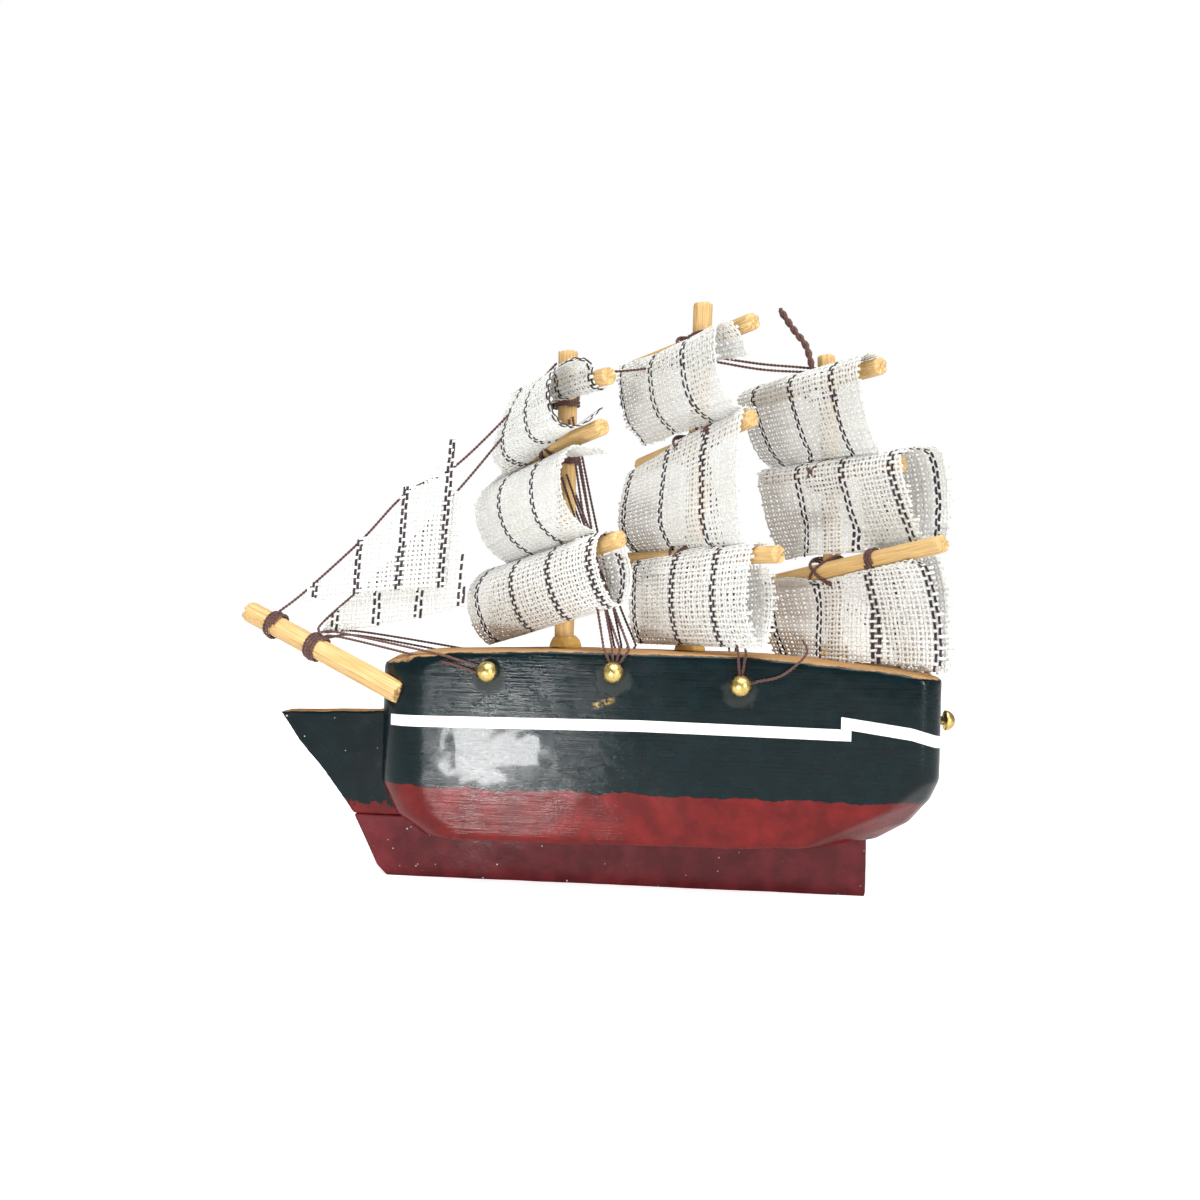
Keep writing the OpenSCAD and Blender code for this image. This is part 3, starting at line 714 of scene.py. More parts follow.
profile = put(twine, "GeometryNodeCurvePrimitiveCircle", None, Resolution=6,
    Radius=given["Ply Radius"]).outputs[0]
for phase in (0.0, math.pi):
    turned = times(twine, mathNode(twine, "DIVIDE", travelled, given["Lay"]), 2 * math.pi)
    angle = plus(twine, turned, phase)
    reach = times(twine, given["Ply Radius"], 0.92)  # the plies press into each other
    offset = added(twine, scaled(twine, sideways, times(twine, mathNode(twine, "COSINE", angle), reach)),
        scaled(twine, upward, times(twine, mathNode(twine, "SINE", angle), reach)))
    ply = put(twine, "GeometryNodeSetPosition", None, Geometry=route, Offset=offset).outputs[0]
    ply = put(twine, "GeometryNodeCurveToMesh", {}, Curve=ply,
        **{"Profile Curve": profile, "Fill Caps": True}).outputs[0]
    twine.links.new(ply, plies.inputs[0])
whole = put(twine, "GeometryNodeRealizeInstances", None, Geometry=plies.outputs[0]).outputs[0]
whole = put(twine, "GeometryNodeSetMaterial", None, Geometry=whole, Material=given["Thread"]).outputs[0]
twine.links.new(whole, result[0])


# Cloth and thread materials

dyes = {"white": ((0.80, 0.80, 0.76, 1), (0.90, 0.90, 0.88, 1)), "yellowed": (0.74, 0.74, 0.66, 1),
    "ink": ((0.012, 0.010, 0.016, 1), (0.075, 0.05, 0.062, 1)),
    "brown": ((0.045, 0.012, 0.010, 1), (0.16, 0.055, 0.04, 1))}
sailCloth, tree, shader = freshMaterial("sailCloth")
point = inMillimetres(tree)
isDark = put(tree, "ShaderNodeAttribute", {"attribute_name": "dark"}).outputs["Fac"]
yarnNumber = put(tree, "ShaderNodeAttribute", {"attribute_name": "yarn"}).outputs["Fac"]
tint = put(tree, "ShaderNodeTexWhiteNoise", {"noise_dimensions": "1D"},
    W=mathNode(tree, "ROUND", yarnNumber)).outputs[0]
pale = mixColour(tree, tint, *dyes["white"])
aged = mapRange(tree, noiseAt(tree, point, 0.12, 3.0), 0.45, 0.75, 0.0, 0.5)
pale = mixColour(tree, aged, pale, dyes["yellowed"])
inky = mixColour(tree, mapRange(tree, noiseAt(tree, point, 2.0, 3.0), 0.35, 0.7), *dyes["ink"])
tree.links.new(mixColour(tree, isDark, pale, inky), shader.inputs["Base Color"])
fuzz = noiseAt(tree, point, 7.0, 4.0, 0.7)
tree.links.new(bump(tree, fuzz, 0.00008), shader.inputs["Normal"])
shader.inputs["Roughness"].default_value = 0.85
shader.inputs["Sheen Weight"].default_value = 0.25
shader.inputs["Specular IOR Level"].default_value = 0.25

riggingThread, tree, shader = freshMaterial("riggingThread")
point = inMillimetres(tree)
strand = noiseAt(tree, point, 5.0, 4.0, 0.7)
tree.links.new(mixColour(tree, mapRange(tree, strand, 0.3, 0.7), *dyes["brown"]),
    shader.inputs["Base Color"])
tree.links.new(bump(tree, strand, 0.0001), shader.inputs["Normal"])
shader.inputs["Roughness"].default_value = 0.7
shader.inputs["Sheen Weight"].default_value = 0.3


# Sails

cloth = {"warpPitch": 0.59, "weftPitch": 0.66, "width": 0.395, "thickness": 0.14, "crimp": 0.075,
    "fray": 0.8,
    "stripeEvery": 14, "pointsEach": 3.5, "margin": 1.2, "gridDown": 0.45, "gridAcross": 0.5,
    "mastGap": 0.25, "mastCurve": 0.055, "yardGap": 0.22, "ripple": 0.22, "fineRipple": 0.08}

# Each sail: starboard and port end along the yard, the section of the billow at each end as
# (forward, up) from where the yard crosses its mast, and where along the yard one dark stripe lies
sails = {
    "fore_upper": {"ends": (-7.5, 12), "stripe": 2.9,
        "far": [(-0.9, -1.3), (0.5, -1.5), (1.4, -0.5), (1.2, 0.8), (1.8, 0.9), (2.6, -1.2), (3.8, -4),
            (4.8, -7), (4.8, -9), (3.4, -10.3), (1.4, -10.9)],
        "near": [(-0.9, -1.5), (0.6, -1.6), (1.5, -0.4), (1.3, 0.9), (2.4, 1.8), (4.8, 1.3), (7.4, -1),
            (7.4, -4.6), (5.6, -6.9), (2.6, -6.6), (-0.5, -3.9)]},
    "fore_middle": {"ends": (-11.5, 11), "stripe": 3.0,
        "far": [(-1, -1.2), (0.2, -1.6), (2.6, -3.8), (4.6, -5.6), (5.4, -8), (5, -10.6), (3.2, -13.6),
            (-0.7, -16)],
        "near": [(-2.1, -1.5), (0.6, -1.3), (3.6, -1.4), (5.1, -3.6), (5.1, -6.6), (4.2, -9.2),
            (2.2, -11.2), (0, -12)]},
    "fore_lower": {"ends": (-14, 14.4), "stripe": -4.2,
        "far": [(0.6, -0.9), (1.8, -0.5), (3.8, -2), (4.9, -4.4), (4.5, -7.2), (3, -10), (0.8, -11.6),
            (0.9, -9.6), (1.3, -6.4), (1.4, -3)],
        "near": [(-1.2, 2.9), (0.8, 3.9), (2.3, 3), (2.7, 1), (2.2, -1.4), (1, -3.6), (-0.7, -5.4),
            (-2.7, -4.8), (-3.2, -1.6), (-2.2, 1.6)]},
    "main_upper": {"ends": (-12, 12.3), "stripe": 4.3,
        "far": [(-0.4, -1.6), (1.2, -0.8), (2.2, -0.6), (2.9, -2.4), (2.6, -5), (1.5, -8.7), (-0.9, -11),
            (-1.6, -11.8)],
        "near": [(-0.2, -3.2), (1.3, -1.0), (3.2, 0.4), (5.2, -0.6), (5.2, -3.6), (4.2, -7.2), (2.2, -9.5),
            (-0.6, -10.4)]},
    "main_middle": {"ends": (-11, 13.5), "stripe": -1.9,
        "far": [(-0.4, -2.6), (1.0, -2.4), (1.6, -3.8), (2.2, -6.4), (2.6, -9.2), (2.4, -11.4),
            (1.2, -13.0), (-0.2, -14.0)],
        "near": [(-0.6, 3.4), (1.0, 3.4), (1.7, 0.6), (1.7, -3), (1.6, -7), (1.3, -10), (0.6, -12.6),
            (-0.3, -14.4)]},
    "main_lower": {"ends": (-8, 16), "stripe": 0.6,
        "far": [(0.2, -0.6), (1.3, -0.2), (2.1, -1.4), (2.3, -3.6), (2.2, -6.4), (1.8, -9), (0.8, -11.6),
            (0.1, -11.8), (-0.1, -9.6), (0, -6.8), (0, -4), (0.1, -1.9)],
        "near": [(-0.4, 1.3), (0.9, 1.5), (1.8, 0.2), (2.2, -3.2), (2.3, -6.2), (1.7, -9), (0.4, -11.4),
            (-0.8, -11.8), (-1.9, -10), (-2.3, -7), (-2.2, -4), (-1.4, -1.5)]},
    "mizzen_upper": {"ends": (-12.8, 12), "stripe": -1.9,
        "far": [(-0.9, 0.9), (0.6, 1.4), (2.4, 0.4), (2.6, -1), (1.4, -3.4), (0.2, -5.8), (-1.4, -8),
            (-3.6, -9.6)],
        "near": [(0.0, 1.3), (1.6, 1.7), (3.4, 0.9), (4.1, -0.4), (3.7, -2.6), (2.9, -5.2), (1.3, -8.6),
            (-0.6, -11.3)]},
    "mizzen_middle": {"ends": (-10, 15.4), "stripe": -2.9,
        "far": [(-0.9, 0.9), (0.6, 1.3), (1.3, -0.4), (0.4, -3), (-0.4, -5.7), (-1.6, -8), (-2.8, -9.7),
            (-3.8, -11)],
        "near": [(-0.9, 1.4), (0.9, 1.3), (1.4, -0.6), (0.6, -2.6), (-0.4, -4.6), (-1.6, -6.6),
            (-2.9, -8.8), (-3.7, -10.4)]},
    "mizzen_lower": {"ends": (-10.5, 16.3), "stripe": -0.9,
        "far": [(-0.4, -2.4), (1.2, -1.0), (1.5, -2.6), (1.0, -4.6), (0.2, -6.6), (-0.6, -8.8),
            (-1.6, -10.6), (-2.4, -12)],
        "near": [(0.5, 1.0), (-0.8, 0.9), (-2.0, 0.5), (-3.4, -1.9), (-4.6, -5), (-5.2, -8), (-5.4, -10.4),
            (-5.3, -12.2)]}}
# A second layer folded over the yard behind the mast, on the port side only
backLayers = {
    "mizzen_middle": {"ends": (3.5, 16.6), "stripe": 14.4,
        "far": [(-1.6, 1.7), (-4.2, 1.5), (-5.2, -1), (-5.8, -4), (-6.0, -7), (-5.9, -9)],
        "near": [(-1.4, 1.9), (-4.4, 1.8), (-6.2, -1), (-6.9, -4.4), (-6.8, -7), (-6.6, -9.4)]},
    "mizzen_lower": {"ends": (3.5, 15.8), "stripe": 7.4,
        "far": [(-1.6, 1.4), (-4.4, 0.6), (-5.4, -2.6), (-5.9, -6), (-6.3, -9.6), (-6.6, -13.2)],
        "near": [(-1.4, 3.2), (-4.6, 2.4), (-6.6, -2), (-7.2, -6), (-7.4, -9.4), (-7.5, -12.6)]}}


def smoothRun(points, count):
    # Even steps along a smooth curve through the points
    points = [Vector(p) for p in points]
    ends = [points[0] * 2 - points[1]] + points + [points[-1] * 2 - points[-2]]
    fine = []
    for i in range(len(points) - 1):
        a, b, c, d = ends[i:i + 4]
        for k in range(12):
            t = k / 12
            fine.append(0.5 * ((2 * b) + (c - a) * t + (2 * a - 5 * b + 4 * c - d) * t * t
                + (3 * b - a - 3 * c + d) * t ** 3))
    fine.append(points[-1])
    lengths = [0.0]
    for p, q in zip(fine, fine[1:]):
        lengths.append(lengths[-1] + (q - p).length)
    result, j = [], 0
    for i in range(count):
        target = lengths[-1] * i / (count - 1)
        while j < len(fine) - 2 and lengths[j + 1] < target:
            j += 1
        part = (target - lengths[j]) / max(lengths[j + 1] - lengths[j], 1e-9)
        result.append(fine[j].lerp(fine[j + 1], part))
    return result, lengths[-1]


def guideObject(name, grid, inside):
    # grid[i][j] in millimetres, i across the warp and j along it; inside is the distance in from the edge
    across, down = len(grid), len(grid[0])
    mesh = bpy.data.meshes.new(name)
    verts = [grid[i][j] * mm for i in range(across) for j in range(down)]
    faces = [(i * down + j, (i + 1) * down + j, (i + 1) * down + j + 1, i * down + j + 1)
        for i in range(across - 1) for j in range(down - 1)]
    mesh.from_pydata(verts, [], faces)
    uv = mesh.uv_layers.new(name="cloth")
    for loop in mesh.loops:
        i, j = divmod(loop.vertex_index, down)
        uv.data[loop.index].uv = (i / (across - 1), j / (down - 1))
    mesh.attributes.new("up", "FLOAT_VECTOR", "POINT")
    mesh.attributes.new("inside", "FLOAT", "POINT")
    up, depth = mesh.attributes["up"], mesh.attributes["inside"]
    for i in range(across):
        for j in range(down):
            side = grid[min(i + 1, across - 1)][j] - grid[max(i - 1, 0)][j]
            drop = grid[i][min(j + 1, down - 1)] - grid[i][max(j - 1, 0)]
            up.data[i * down + j].vector = side.cross(drop).normalized()
            depth.data[i * down + j].value = inside[i][j] * mm
    return linked(name, mesh)


def weaveOn(name, grid, inside, size, stripeStart, stripeEvery, seed, fray):
    # Weaves one layer and returns its mesh; size is the guide's own width and length
    guide = guideObject(name + "Guide", grid, inside)
    warps = int(size[0] / cloth["warpPitch"]) + 1
    wefts = int(size[1] / cloth["weftPitch"]) + 1
    mesh = grow(guide, weave, {"Warp Yarns": warps, "Weft Yarns": wefts,
        "Warp Pitch": cloth["warpPitch"] * mm,
        "Weft Pitch": cloth["weftPitch"] * mm, "Guide Width": size[0] * mm, "Guide Length": size[1] * mm,
        "Yarn Width": cloth["width"] * mm, "Yarn Thickness": cloth["thickness"] * mm,
        "Crimp": cloth["crimp"] * mm,
        "Fray": fray * mm, "Stripe Every": float(stripeEvery), "Stripe Start": float(stripeStart),
        "Points Each": cloth["pointsEach"], "Seed": seed, "Cloth": sailCloth})
    bpy.data.objects.remove(guide)
    return mesh


def sheetPiece(name, meshes, node):
    shape = bmesh.new()
    for mesh in meshes:
        shape.from_mesh(mesh)
    loose = [v for v in shape.verts if not v.link_faces]
    bmesh.ops.delete(shape, geom=loose, context="VERTS")
    mesh = meshes[0]
    shape.to_mesh(mesh)
    shape.free()
    mesh.name = name
    mesh.materials.clear()
    mesh.materials.append(sailCloth)
    mesh.shade_smooth()
    piece = linked(name, mesh)
    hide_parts(node)
    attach(piece, "root")
    print(name, "woven,", sum(len(p.vertices) - 2 for p in mesh.polygons), "triangles")


def hungLayer(yardName, layer, seed, behind=False):
    # One layer hung on a yard, as a grid of points with a margin all round for the frayed ends
    centre, port, forward = yardFrame(yardName)
    margin = cloth["margin"]
    start, end = layer["ends"]
    far, farLength = smoothRun(layer["far"], 60)
    near, nearLength = smoothRun(layer["near"], 60)
    length = (farLength + nearLength) / 2
    down = int((length + 2 * margin) / cloth["gridDown"])
    across = int((end - start + 2 * margin) / cloth["gridAcross"])
    mastR = masts[yards[yardName][0]]["d"] / 2
    front = -(yardD / 2) + cloth["mastGap"]
    grid, inside = [], []

    def onRun(run, total, y):
        t = y / length
        place = t * (len(run) - 1)
        k = min(max(int(place), 0), len(run) - 2)
        if t < 0:
            return run[0] + (run[0] - run[1]).normalized() * -t * total
        if t > 1:
            return run[-1] + (run[-1] - run[-2]).normalized() * (t - 1) * total
        return run[k].lerp(run[k + 1], place - k)

    for i in range(across + 1):
        s = start - margin + (end - start + 2 * margin) * i / across
        f = (s - start) / (end - start)
        row, depths = [], []
        for j in range(down + 1):
            y = -margin + (length + 2 * margin) * j / down
            spot = onRun(far, farLength, y).lerp(onRun(near, nearLength, y), f)
            a, b = spot.x, spot.y
            if not behind:
                # The cloth passes the mast in front of it
                keep = front - cloth["mastCurve"] * max(0, abs(s) - mastR) ** 2
                a = max(a, keep)
            # and lies on its yard, not in it
            yardUp = s * math.tan(math.radians(yards[yardName][3]))
            gap = Vector((a, b - yardUp))
            if gap.length < yardD / 2 + cloth["yardGap"]:
                gap = (gap + Vector((0.25, 0))).normalized() * (yardD / 2 + cloth["yardGap"])
                a, b = gap.x, gap.y + yardUp
            point = centre + port * s + forward * a + Vector((0, 0, b))
            ripple = (cloth["ripple"] * noise.noise(point * 0.17 + Vector((seed, 0, 0)))
                + cloth["fineRipple"] * noise.noise(point * 0.6))
            row.append(point + forward * ripple)
            depths.append(min(s - start, end - s, y, length - y))
        grid.append(row)
        inside.append(depths)
    size = (end - start + 2 * margin, length + 2 * margin)
    stripe = (layer["stripe"] - start + margin) / cloth["warpPitch"]
    mesh = weaveOn(yardName, grid, inside, size, round(stripe) % cloth["stripeEvery"], cloth["stripeEvery"],
        seed,
        cloth["fray"])
    return mesh, (end - start) * length, (end - start, length)


for seed, (name, layer) in enumerate(sails.items()):
    mesh, area, flat = hungLayer(name, layer, seed + 1)
    meshes = [mesh]
    if name in backLayers:
        mesh, backArea, backFlat = hungLayer(name, backLayers[name], seed + 21, behind=True)
        meshes.append(mesh)
        area += backArea
        flat = (flat[0], flat[1] + backFlat[1])
    sheetPiece(pieceName(name, "Sail"), meshes, name + "_sail")


# Jibs, cut in steps along the luff

jibs = {
    "outer_jib": {"y": -2.9, "bow": 0.5, "stripe": -22.3, "outline":
        [(-41.1, 38.2), (-40.2, 40.6), (-39, 40.6), (-36.2, 41.8), (-34.2, 44.4), (-33.5, 47.0),
            (-32.9, 46.0), (-30, 48.6),
         (-27.9, 51.8), (-27.2, 54.6), (-26.5, 53.4), (-23.4, 55.4), (-21.5, 58.4), (-20.8, 60.8),
         (-20.5, 56), (-21.5, 40.5)]},
    "inner_jib": {"y": -1.5, "bow": 0.4, "stripe": -19.7, "outline":
        [(-39.2, 33.4), (-37.8, 35.8), (-33.4, 39.8), (-29, 44.0), (-25, 48.4), (-20.6, 54.2),
            (-19.5, 47.5), (-18.9, 38.0),
         (-26.3, 35.9), (-32.7, 34.4)]}}
# The weave leans with the luff, so the flat cloth is skewed a little either way
jibCut = {"margin": 3, "grid": 0.3, "warpLean": 0.06, "weftLean": 0.10, "fray": 0.35, "stripeEvery": 10,
    "middle": -29, "halfSpan": 12, "ripple": 0.25}


def edgeDistance(outline, x, z):
    # Signed distance in from a closed outline
    best, inner = 1e9, False
    for (ax, az), (bx, bz) in zip(outline, outline[1:] + outline[:1]):
        dx, dz = bx - ax, bz - az
        t = min(1, max(0, ((x - ax) * dx + (z - az) * dz) / (dx * dx + dz * dz)))
        best = min(best, math.hypot(x - ax - t * dx, z - az - t * dz))
        if (az > z) != (bz > z) and x < (bx - ax) * (z - az) / (bz - az) + ax:
            inner = not inner
    return best if inner else -best


for seed, (node, jib) in enumerate(jibs.items()):
    outline = jib["outline"]
    margin = jibCut["margin"]
    low = (min(p[0] for p in outline) - margin, min(p[1] for p in outline) - margin)
    size = (max(p[0] for p in outline) + margin - low[0], max(p[1] for p in outline) + margin - low[1])
    across, down = int(size[0] / jibCut["grid"]), int(size[1] / jibCut["grid"])
    grid, inside = [], []
    for i in range(across + 1):
        row, depths = [], []
        for j in range(down + 1):
            u, v = size[0] * i / across, size[1] * j / down
            x = low[0] + u + jibCut["warpLean"] * (v - 6)
            z = low[1] + v + jibCut["weftLean"] * (u - size[0] / 2)
            belly = jib["bow"] * max(0, 1 - ((x - jibCut["middle"]) / jibCut["halfSpan"]) ** 2)
            ripple = jibCut["ripple"] * noise.noise(Vector((x * 0.2, z * 0.2, seed)))
            row.append(Vector((x, jib["y"] - belly + ripple, z)))
            depths.append(edgeDistance(outline, x, z))
        grid.append(row)
        inside.append(depths)
    stripe = (jib["stripe"] - low[0]) / cloth["warpPitch"]
    mesh = weaveOn(node, grid, inside, size, round(stripe) % jibCut["stripeEvery"], jibCut["stripeEvery"],
        seed + 41, jibCut["fray"])
    flat = (size[0] - 2 * margin, size[1] - 2 * margin)
    sheetPiece(node.split("_")[0] + "Jib", [mesh], node)
print("sails woven")


# Rigging

thread = {"ply": 0.105, "lay": 1.0, "step": 0.16, "r": 0.21, "pinTurn": 0.86, "tailPly": 0.27}


def throughPoints(points, step=0.5):
    points = [Vector(p) for p in points]
    if len(points) < 3:
        return points
    length = sum((q - p).length for p, q in zip(points, points[1:]))
    return smoothRun(points, max(8, int(length / step)))[0]


def sagging(a, b, sag, count=14, uneven=0.12):
    # A thread from a to b with a shallow sag and a little unevenness
    run = []
    for k in range(count + 1):
        t = k / count
        spot = a.lerp(b, t)
        stray = uneven * noise.noise(spot * 0.21) if 0 < k < count else 0
        run.append(spot - Vector((0, 0, sag * 4 * t * (1 - t))) + Vector((0, 1, 1)) * stray)
    return run


def threadPiece(name, nodes, runs, ply=None):
    mesh = bpy.data.meshes.new(name + "Path")
    verts, edges = [], []
    for run in runs:
        start = len(verts)
        verts += [Vector(p) * mm for p in run]
        edges += [(k, k + 1) for k in range(start, len(verts) - 1)]
    mesh.from_pydata(verts, edges, [])
    path = linked(name + "Path", mesh)
    ply = ply or thread["ply"]
    made = grow(path, twine, {"Ply Radius": ply * mm, "Lay": thread["lay"] * mm * ply / thread["ply"],
        "Step": thread["step"] * mm * ply / thread["ply"], "Thread": riggingThread})
    bpy.data.objects.remove(path)
    made.name = name
    made.materials.clear()
    made.materials.append(riggingThread)
    made.shade_smooth()
    piece = linked(name, made)
    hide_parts(*nodes)
    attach(piece, "root")


def crossTurns(yardName, tilt, shift, seed):
    # A turn of thread round the mast and yard where they cross, tilted one way
    centre, port, forward = yardFrame(yardName)
    mastR = masts[yards[yardName][0]]["d"] / 2
    front, back = yardD / 2 + thread["r"], -(yardD / 2 + 2 * mastR + thread["r"])
    run = []
    for k in range(37):
        t = 2 * math.pi * k / 36
        a = (front + back) / 2 + (front - back) / 2 * math.cos(t)
        s = (mastR + 0.55) * math.sin(t)
        b = tilt * 1.75 * math.sin(t) + shift * (0.5 - 0.5 * math.cos(t))
        run.append(centre + port * (s + 0.12 * shift) + forward * a
            + Vector((0, 0, b + 0.06 * math.sin(3 * t + seed))))
    return run


def wraps(start, axis, radius, turns, pitch, phase=0.0):
    # Turns of thread wound side by side on a round spar
    across = axis.orthogonal().normalized()
    other = axis.cross(across)
    return [start + axis * pitch * k / 20 + (across * math.cos(phase + 2 * math.pi * k / 20)
        + other * math.sin(phase + 2 * math.pi * k / 20)) * radius for k in range(int(turns * 20) + 1)]


# Extra turns on a yard away from its mast, as distances to port
yardWraps = {"main_middle": (5.2, 4), "mizzen_lower": (8.8, 3), "main_lower": (6.8, 2),
    "fore_middle": (-1.6, 2)}
for seed, name in enumerate(yards):
    centre, port, forward = yardFrame(name)
    along = yardAlong(name, port)
    runs = [crossTurns(name, tilt, shift, seed) for tilt in (-1, 1) for shift in (-0.5, 0.05, 0.55)]
    runs.append(wraps(mastAt(yards[name][0], yards[name][1] - 2.1), Vector((0, 0, 1)),
        masts[yards[name][0]]["d"] / 2 + thread["r"], 2.0, 0.42, seed))
    if name in yardWraps:
        place, turns = yardWraps[name]
        runs.append(wraps(centre + along * place, along, yardD / 2 + thread["r"] * 0.9, turns, 0.44))
    threadPiece(pieceName(name, "Lashing"), [name + "_lashing"], runs)

spritAxis = (bowsprit["butt"] - bowsprit["tip"]).normalized()


def onBowsprit(f):
    return bowsprit["tip"].lerp(bowsprit["butt"], f)


for label, f, turns in (("outer", 0.18, 2.4), ("inner", 0.45, 4.2)):
    start = onBowsprit(f) - spritAxis * 0.8
    runs = [wraps(start, spritAxis, bowsprit["d"] / 2 + thread["r"] * 0.9, turns, 0.46),
        wraps(start + spritAxis * 1.6, -spritAxis, bowsprit["d"] / 2 + thread["r"] * 1.5, 1.6, 0.9, 1.0)]
    threadPiece(label + "BowspritLashing", [label + "_bowsprit_lashing"], runs)

spritTop = bowsprit["d"] / 2 + 0.4
outerEye = onBowsprit(0.18) + Vector((0.4, 0, spritTop))
innerEye = onBowsprit(0.45) + Vector((0.4, 0, spritTop))
mastTop = mastAt("fore", 72.2) + Vector((-1.6, 0, 0))
threadPiece("outerJibStay", ["outer_jib_stay"], [throughPoints(
    [outerEye, (-41.4, -2.4, 39.2), (-33.6, -2.2, 46.6),
    (-27.3, -2.2, 53.4), (-20.6, -2.2, 57.2), (-12.1, -0.9, 66.2), mastTop])])
threadPiece("innerJibStay", ["inner_jib_stay"], [throughPoints(
    [innerEye, (-38.4, -2.0, 35.4), (-29, -1.0, 44.4),
    (-20.4, -0.9, 54), (-14, -0.6, 62.0), mastAt("fore", 70.6) + Vector((-1.6, 0, 0))])])
threadPiece("foreMainStay", ["fore_main_stay"], [sagging(mastAt("fore", 70.8) + Vector((1.5, -0.3, 0)),
    mastAt("main", 72.4) + Vector((-1.5, -0.3, 0)), 0.3)])
threadPiece("mainMizzenStays", ["main_mizzen_stays"], [
    sagging(mastAt("main", 72.6) + Vector((1.5, -0.5, 0)), mastAt("mizzen", 71.2) + Vector((-1.3, -0.5, 0)),
        0.4),
    sagging(mastAt("main", 73.4) + Vector((1.5, 0.4, 0)), mastAt("mizzen", 71.9) + Vector((-1.3, 0.3, 0)),
        0.2)])

threadY = halfBeam + 0.5
railHeight = 32.7
pinPlaces = paint["pins"]


def pinTurns(x, z, side, turns=2.2):
    # Turns on a pin's shank behind its head
    return [Vector((x + thread["pinTurn"] * math.cos(k * math.pi / 8),
        side * (halfBeam + 0.22 + 0.4 * k / (turns * 16)),
        z + thread["pinTurn"] * math.sin(k * math.pi / 8))) for k in range(int(turns * 16) + 1)]


def sideRun(side, mast, z, place, spread, lean=0.0):
    # A thread from a mast over the rail to a pin; spread is how far aft of the pin it crosses the rail
    pinX, pinZ = pinPlaces[place]
    head = mastAt(mast, z) + Vector((lean, side * (masts[mast]["d"] / 2 + 0.25), 0))
    rail = Vector((pinX + spread, side * (threadY + 0.1), railHeight))
    foot = Vector((pinX + spread * 0.25, side * (halfBeam + 0.35), pinZ + 0.8))
    return sagging(head, rail, 0.15) + [rail.lerp(foot, 0.5) + Vector((0, side * 0.05, 0)), foot]


for side, label in ((-1, "port"), (1, "starboard")):
    threadPiece(label + "ForeBackstays", [label + "_fore_backstays"],
        [sideRun(side, "fore", 64, 1, -1.3, 0.4), sideRun(side, "fore", 64.4, 1, -0.2, 0.9),
            pinTurns(*pinPlaces[1], side)])
    threadPiece(label + "ForeShrouds", [label + "_fore_shrouds"],
        [sideRun(side, "fore", 56, 1, 0.8, -0.5), sideRun(side, "fore", 56.4, 1, 2.0, 0.2)])
    threadPiece(label + "MainBackstays", [label + "_main_backstays"],
        [sideRun(side, "main", 64, 2, -0.4, -0.5), sideRun(side, "main", 64.4, 2, 0.6, 0.2),
            pinTurns(*pinPlaces[2], side)])
    x, z = pinPlaces[0]
    runs = [throughPoints([innerEye + Vector((0.6, side * 0.9, -0.3 + 0.4 * k)),
        (-35.4, side * 5.2, 33.4 + 0.3 * k),
        (-21.4, side * (halfBeam - 0.6), 31.1 + 0.45 * k), (-18, side * (halfBeam + 0.3), 30.4 + 0.4 * k),
        (x - 0.6, side * (halfBeam + 0.4), z + 0.5 * k)]) for k in (-1, 1)]
    threadPiece(label + "BowGuys", [label + "_bow_guys"], runs + [pinTurns(x, z, side)])

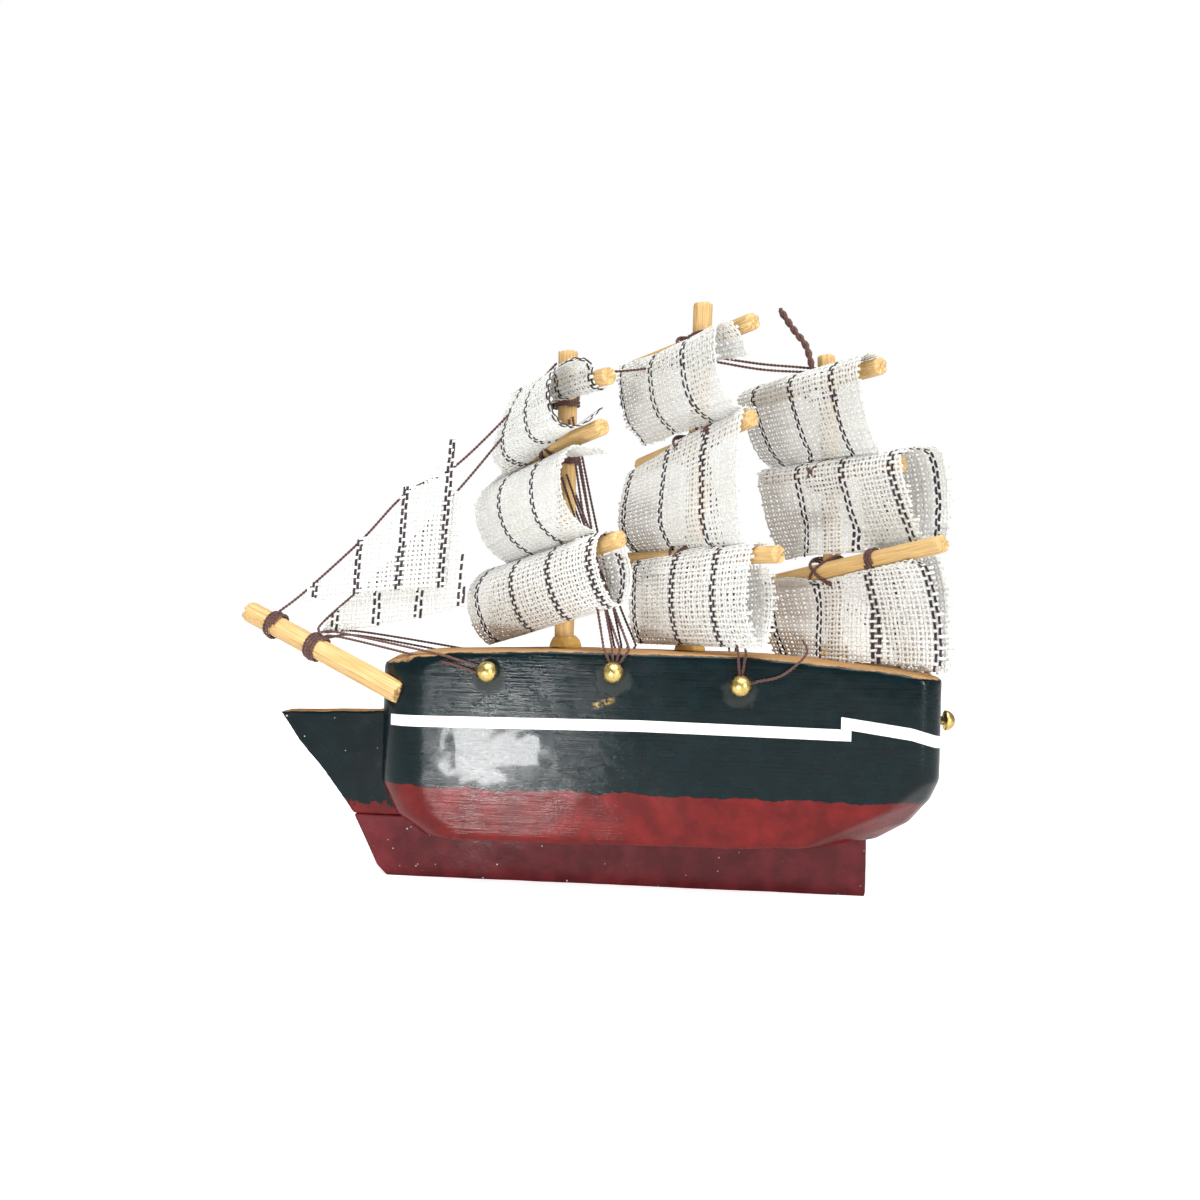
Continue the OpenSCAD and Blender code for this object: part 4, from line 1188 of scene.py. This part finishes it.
sternX, sternZ = pin["sternPlace"][0], pin["sternPlace"][2]
threadPiece("mizzenBackstays", ["mizzen_backstays"], [
    throughPoints([mastAt("mizzen", 40) + Vector((1.6, 0.4, 0)), (41.5, 0.3, 33.9), (43.9, 0.6, 31.6),
        (45.9, 0.9, 29.8),
        (46.6, 0.9, 26.8), (46.0, 0.5, 24.4)]),
    throughPoints([mastAt("mizzen", 39) + Vector((1.6, -0.4, 0)), (40.8, -0.5, 33.2), (44.5, -1.1, 30.6),
        (45.6, -1.0, 27), (45.8, -0.6, 24.4)]),
    [Vector((sternX + 0.2 + 0.4 * k / 32, thread["pinTurn"] * math.cos(k * math.pi / 8),
        sternZ + thread["pinTurn"] * math.sin(k * math.pi / 8)))
        for k in range(33)]])
threadPiece("cordTail", ["cord_tail"], [throughPoints([(28.5, -0.8, 70.8), (28.2, -0.9, 71.8),
    (27.3, -1, 74.7),
    (25.7, -1, 76.7), (23.6, -1, 79.7)])], thread["tailPly"])
threadPiece("looseThread", ["loose_thread"], [throughPoints([(19.6, -halfBeam - 0.5, 28.2),
    (20.8, -halfBeam - 0.6, 29.0),
    (24.2, -halfBeam - 1.0, 30.0), (27.2, -halfBeam - 0.9, 32.8), (26.7, -halfBeam - 0.6, 34.6)])])
print("rigged")


# Glue at the mast feet

amber, tree, shader = freshMaterial("amberGlue")
point = inMillimetres(tree)
tree.links.new(mixColour(tree, noiseAt(tree, point, 0.8, 3.0), (0.55, 0.30, 0.05, 1),
    (0.86, 0.56, 0.14, 1)),
    shader.inputs["Base Color"])
tree.links.new(bump(tree, noiseAt(tree, point, 1.0, 2.0), 0.0003), shader.inputs["Normal"])
shader.inputs["Roughness"].default_value = 0.16
shader.inputs["Subsurface Weight"].default_value = 0.3
shader.inputs["Subsurface Radius"].default_value = (0.001, 0.0005, 0.0002)
softenedCopy("glueBeads", "mast_glue_beads", amber, 0.16, 4, 0.3, 5)


# Floor

floorWhite, tree, shader = freshMaterial("floorWhite")
floorReach, floorGlow = 4.0, 0.8  # metres to each side, and how bright the camera sees it
shader.inputs["Base Color"].default_value = (0.93, 0.93, 0.93, 1)
shader.inputs["Roughness"].default_value = 0.9
shader.inputs["Specular IOR Level"].default_value = 0.1
shader.inputs["Emission Color"].default_value = (1, 1, 1, 1)
tree.links.new(times(tree, put(tree, "ShaderNodeLightPath").outputs["Is Camera Ray"], floorGlow),
    shader.inputs["Emission Strength"])
floorMesh = bpy.data.meshes.new("floor")
floorMesh.from_pydata([(x * floorReach, y * floorReach, 0) for x,
    y in ((-1, -1), (1, -1), (1, 1), (-1, 1))],
    [], [(0, 1, 2, 3)])
floorMesh.materials.append(floorWhite)
floor = linked("floor", floorMesh)

print("done")
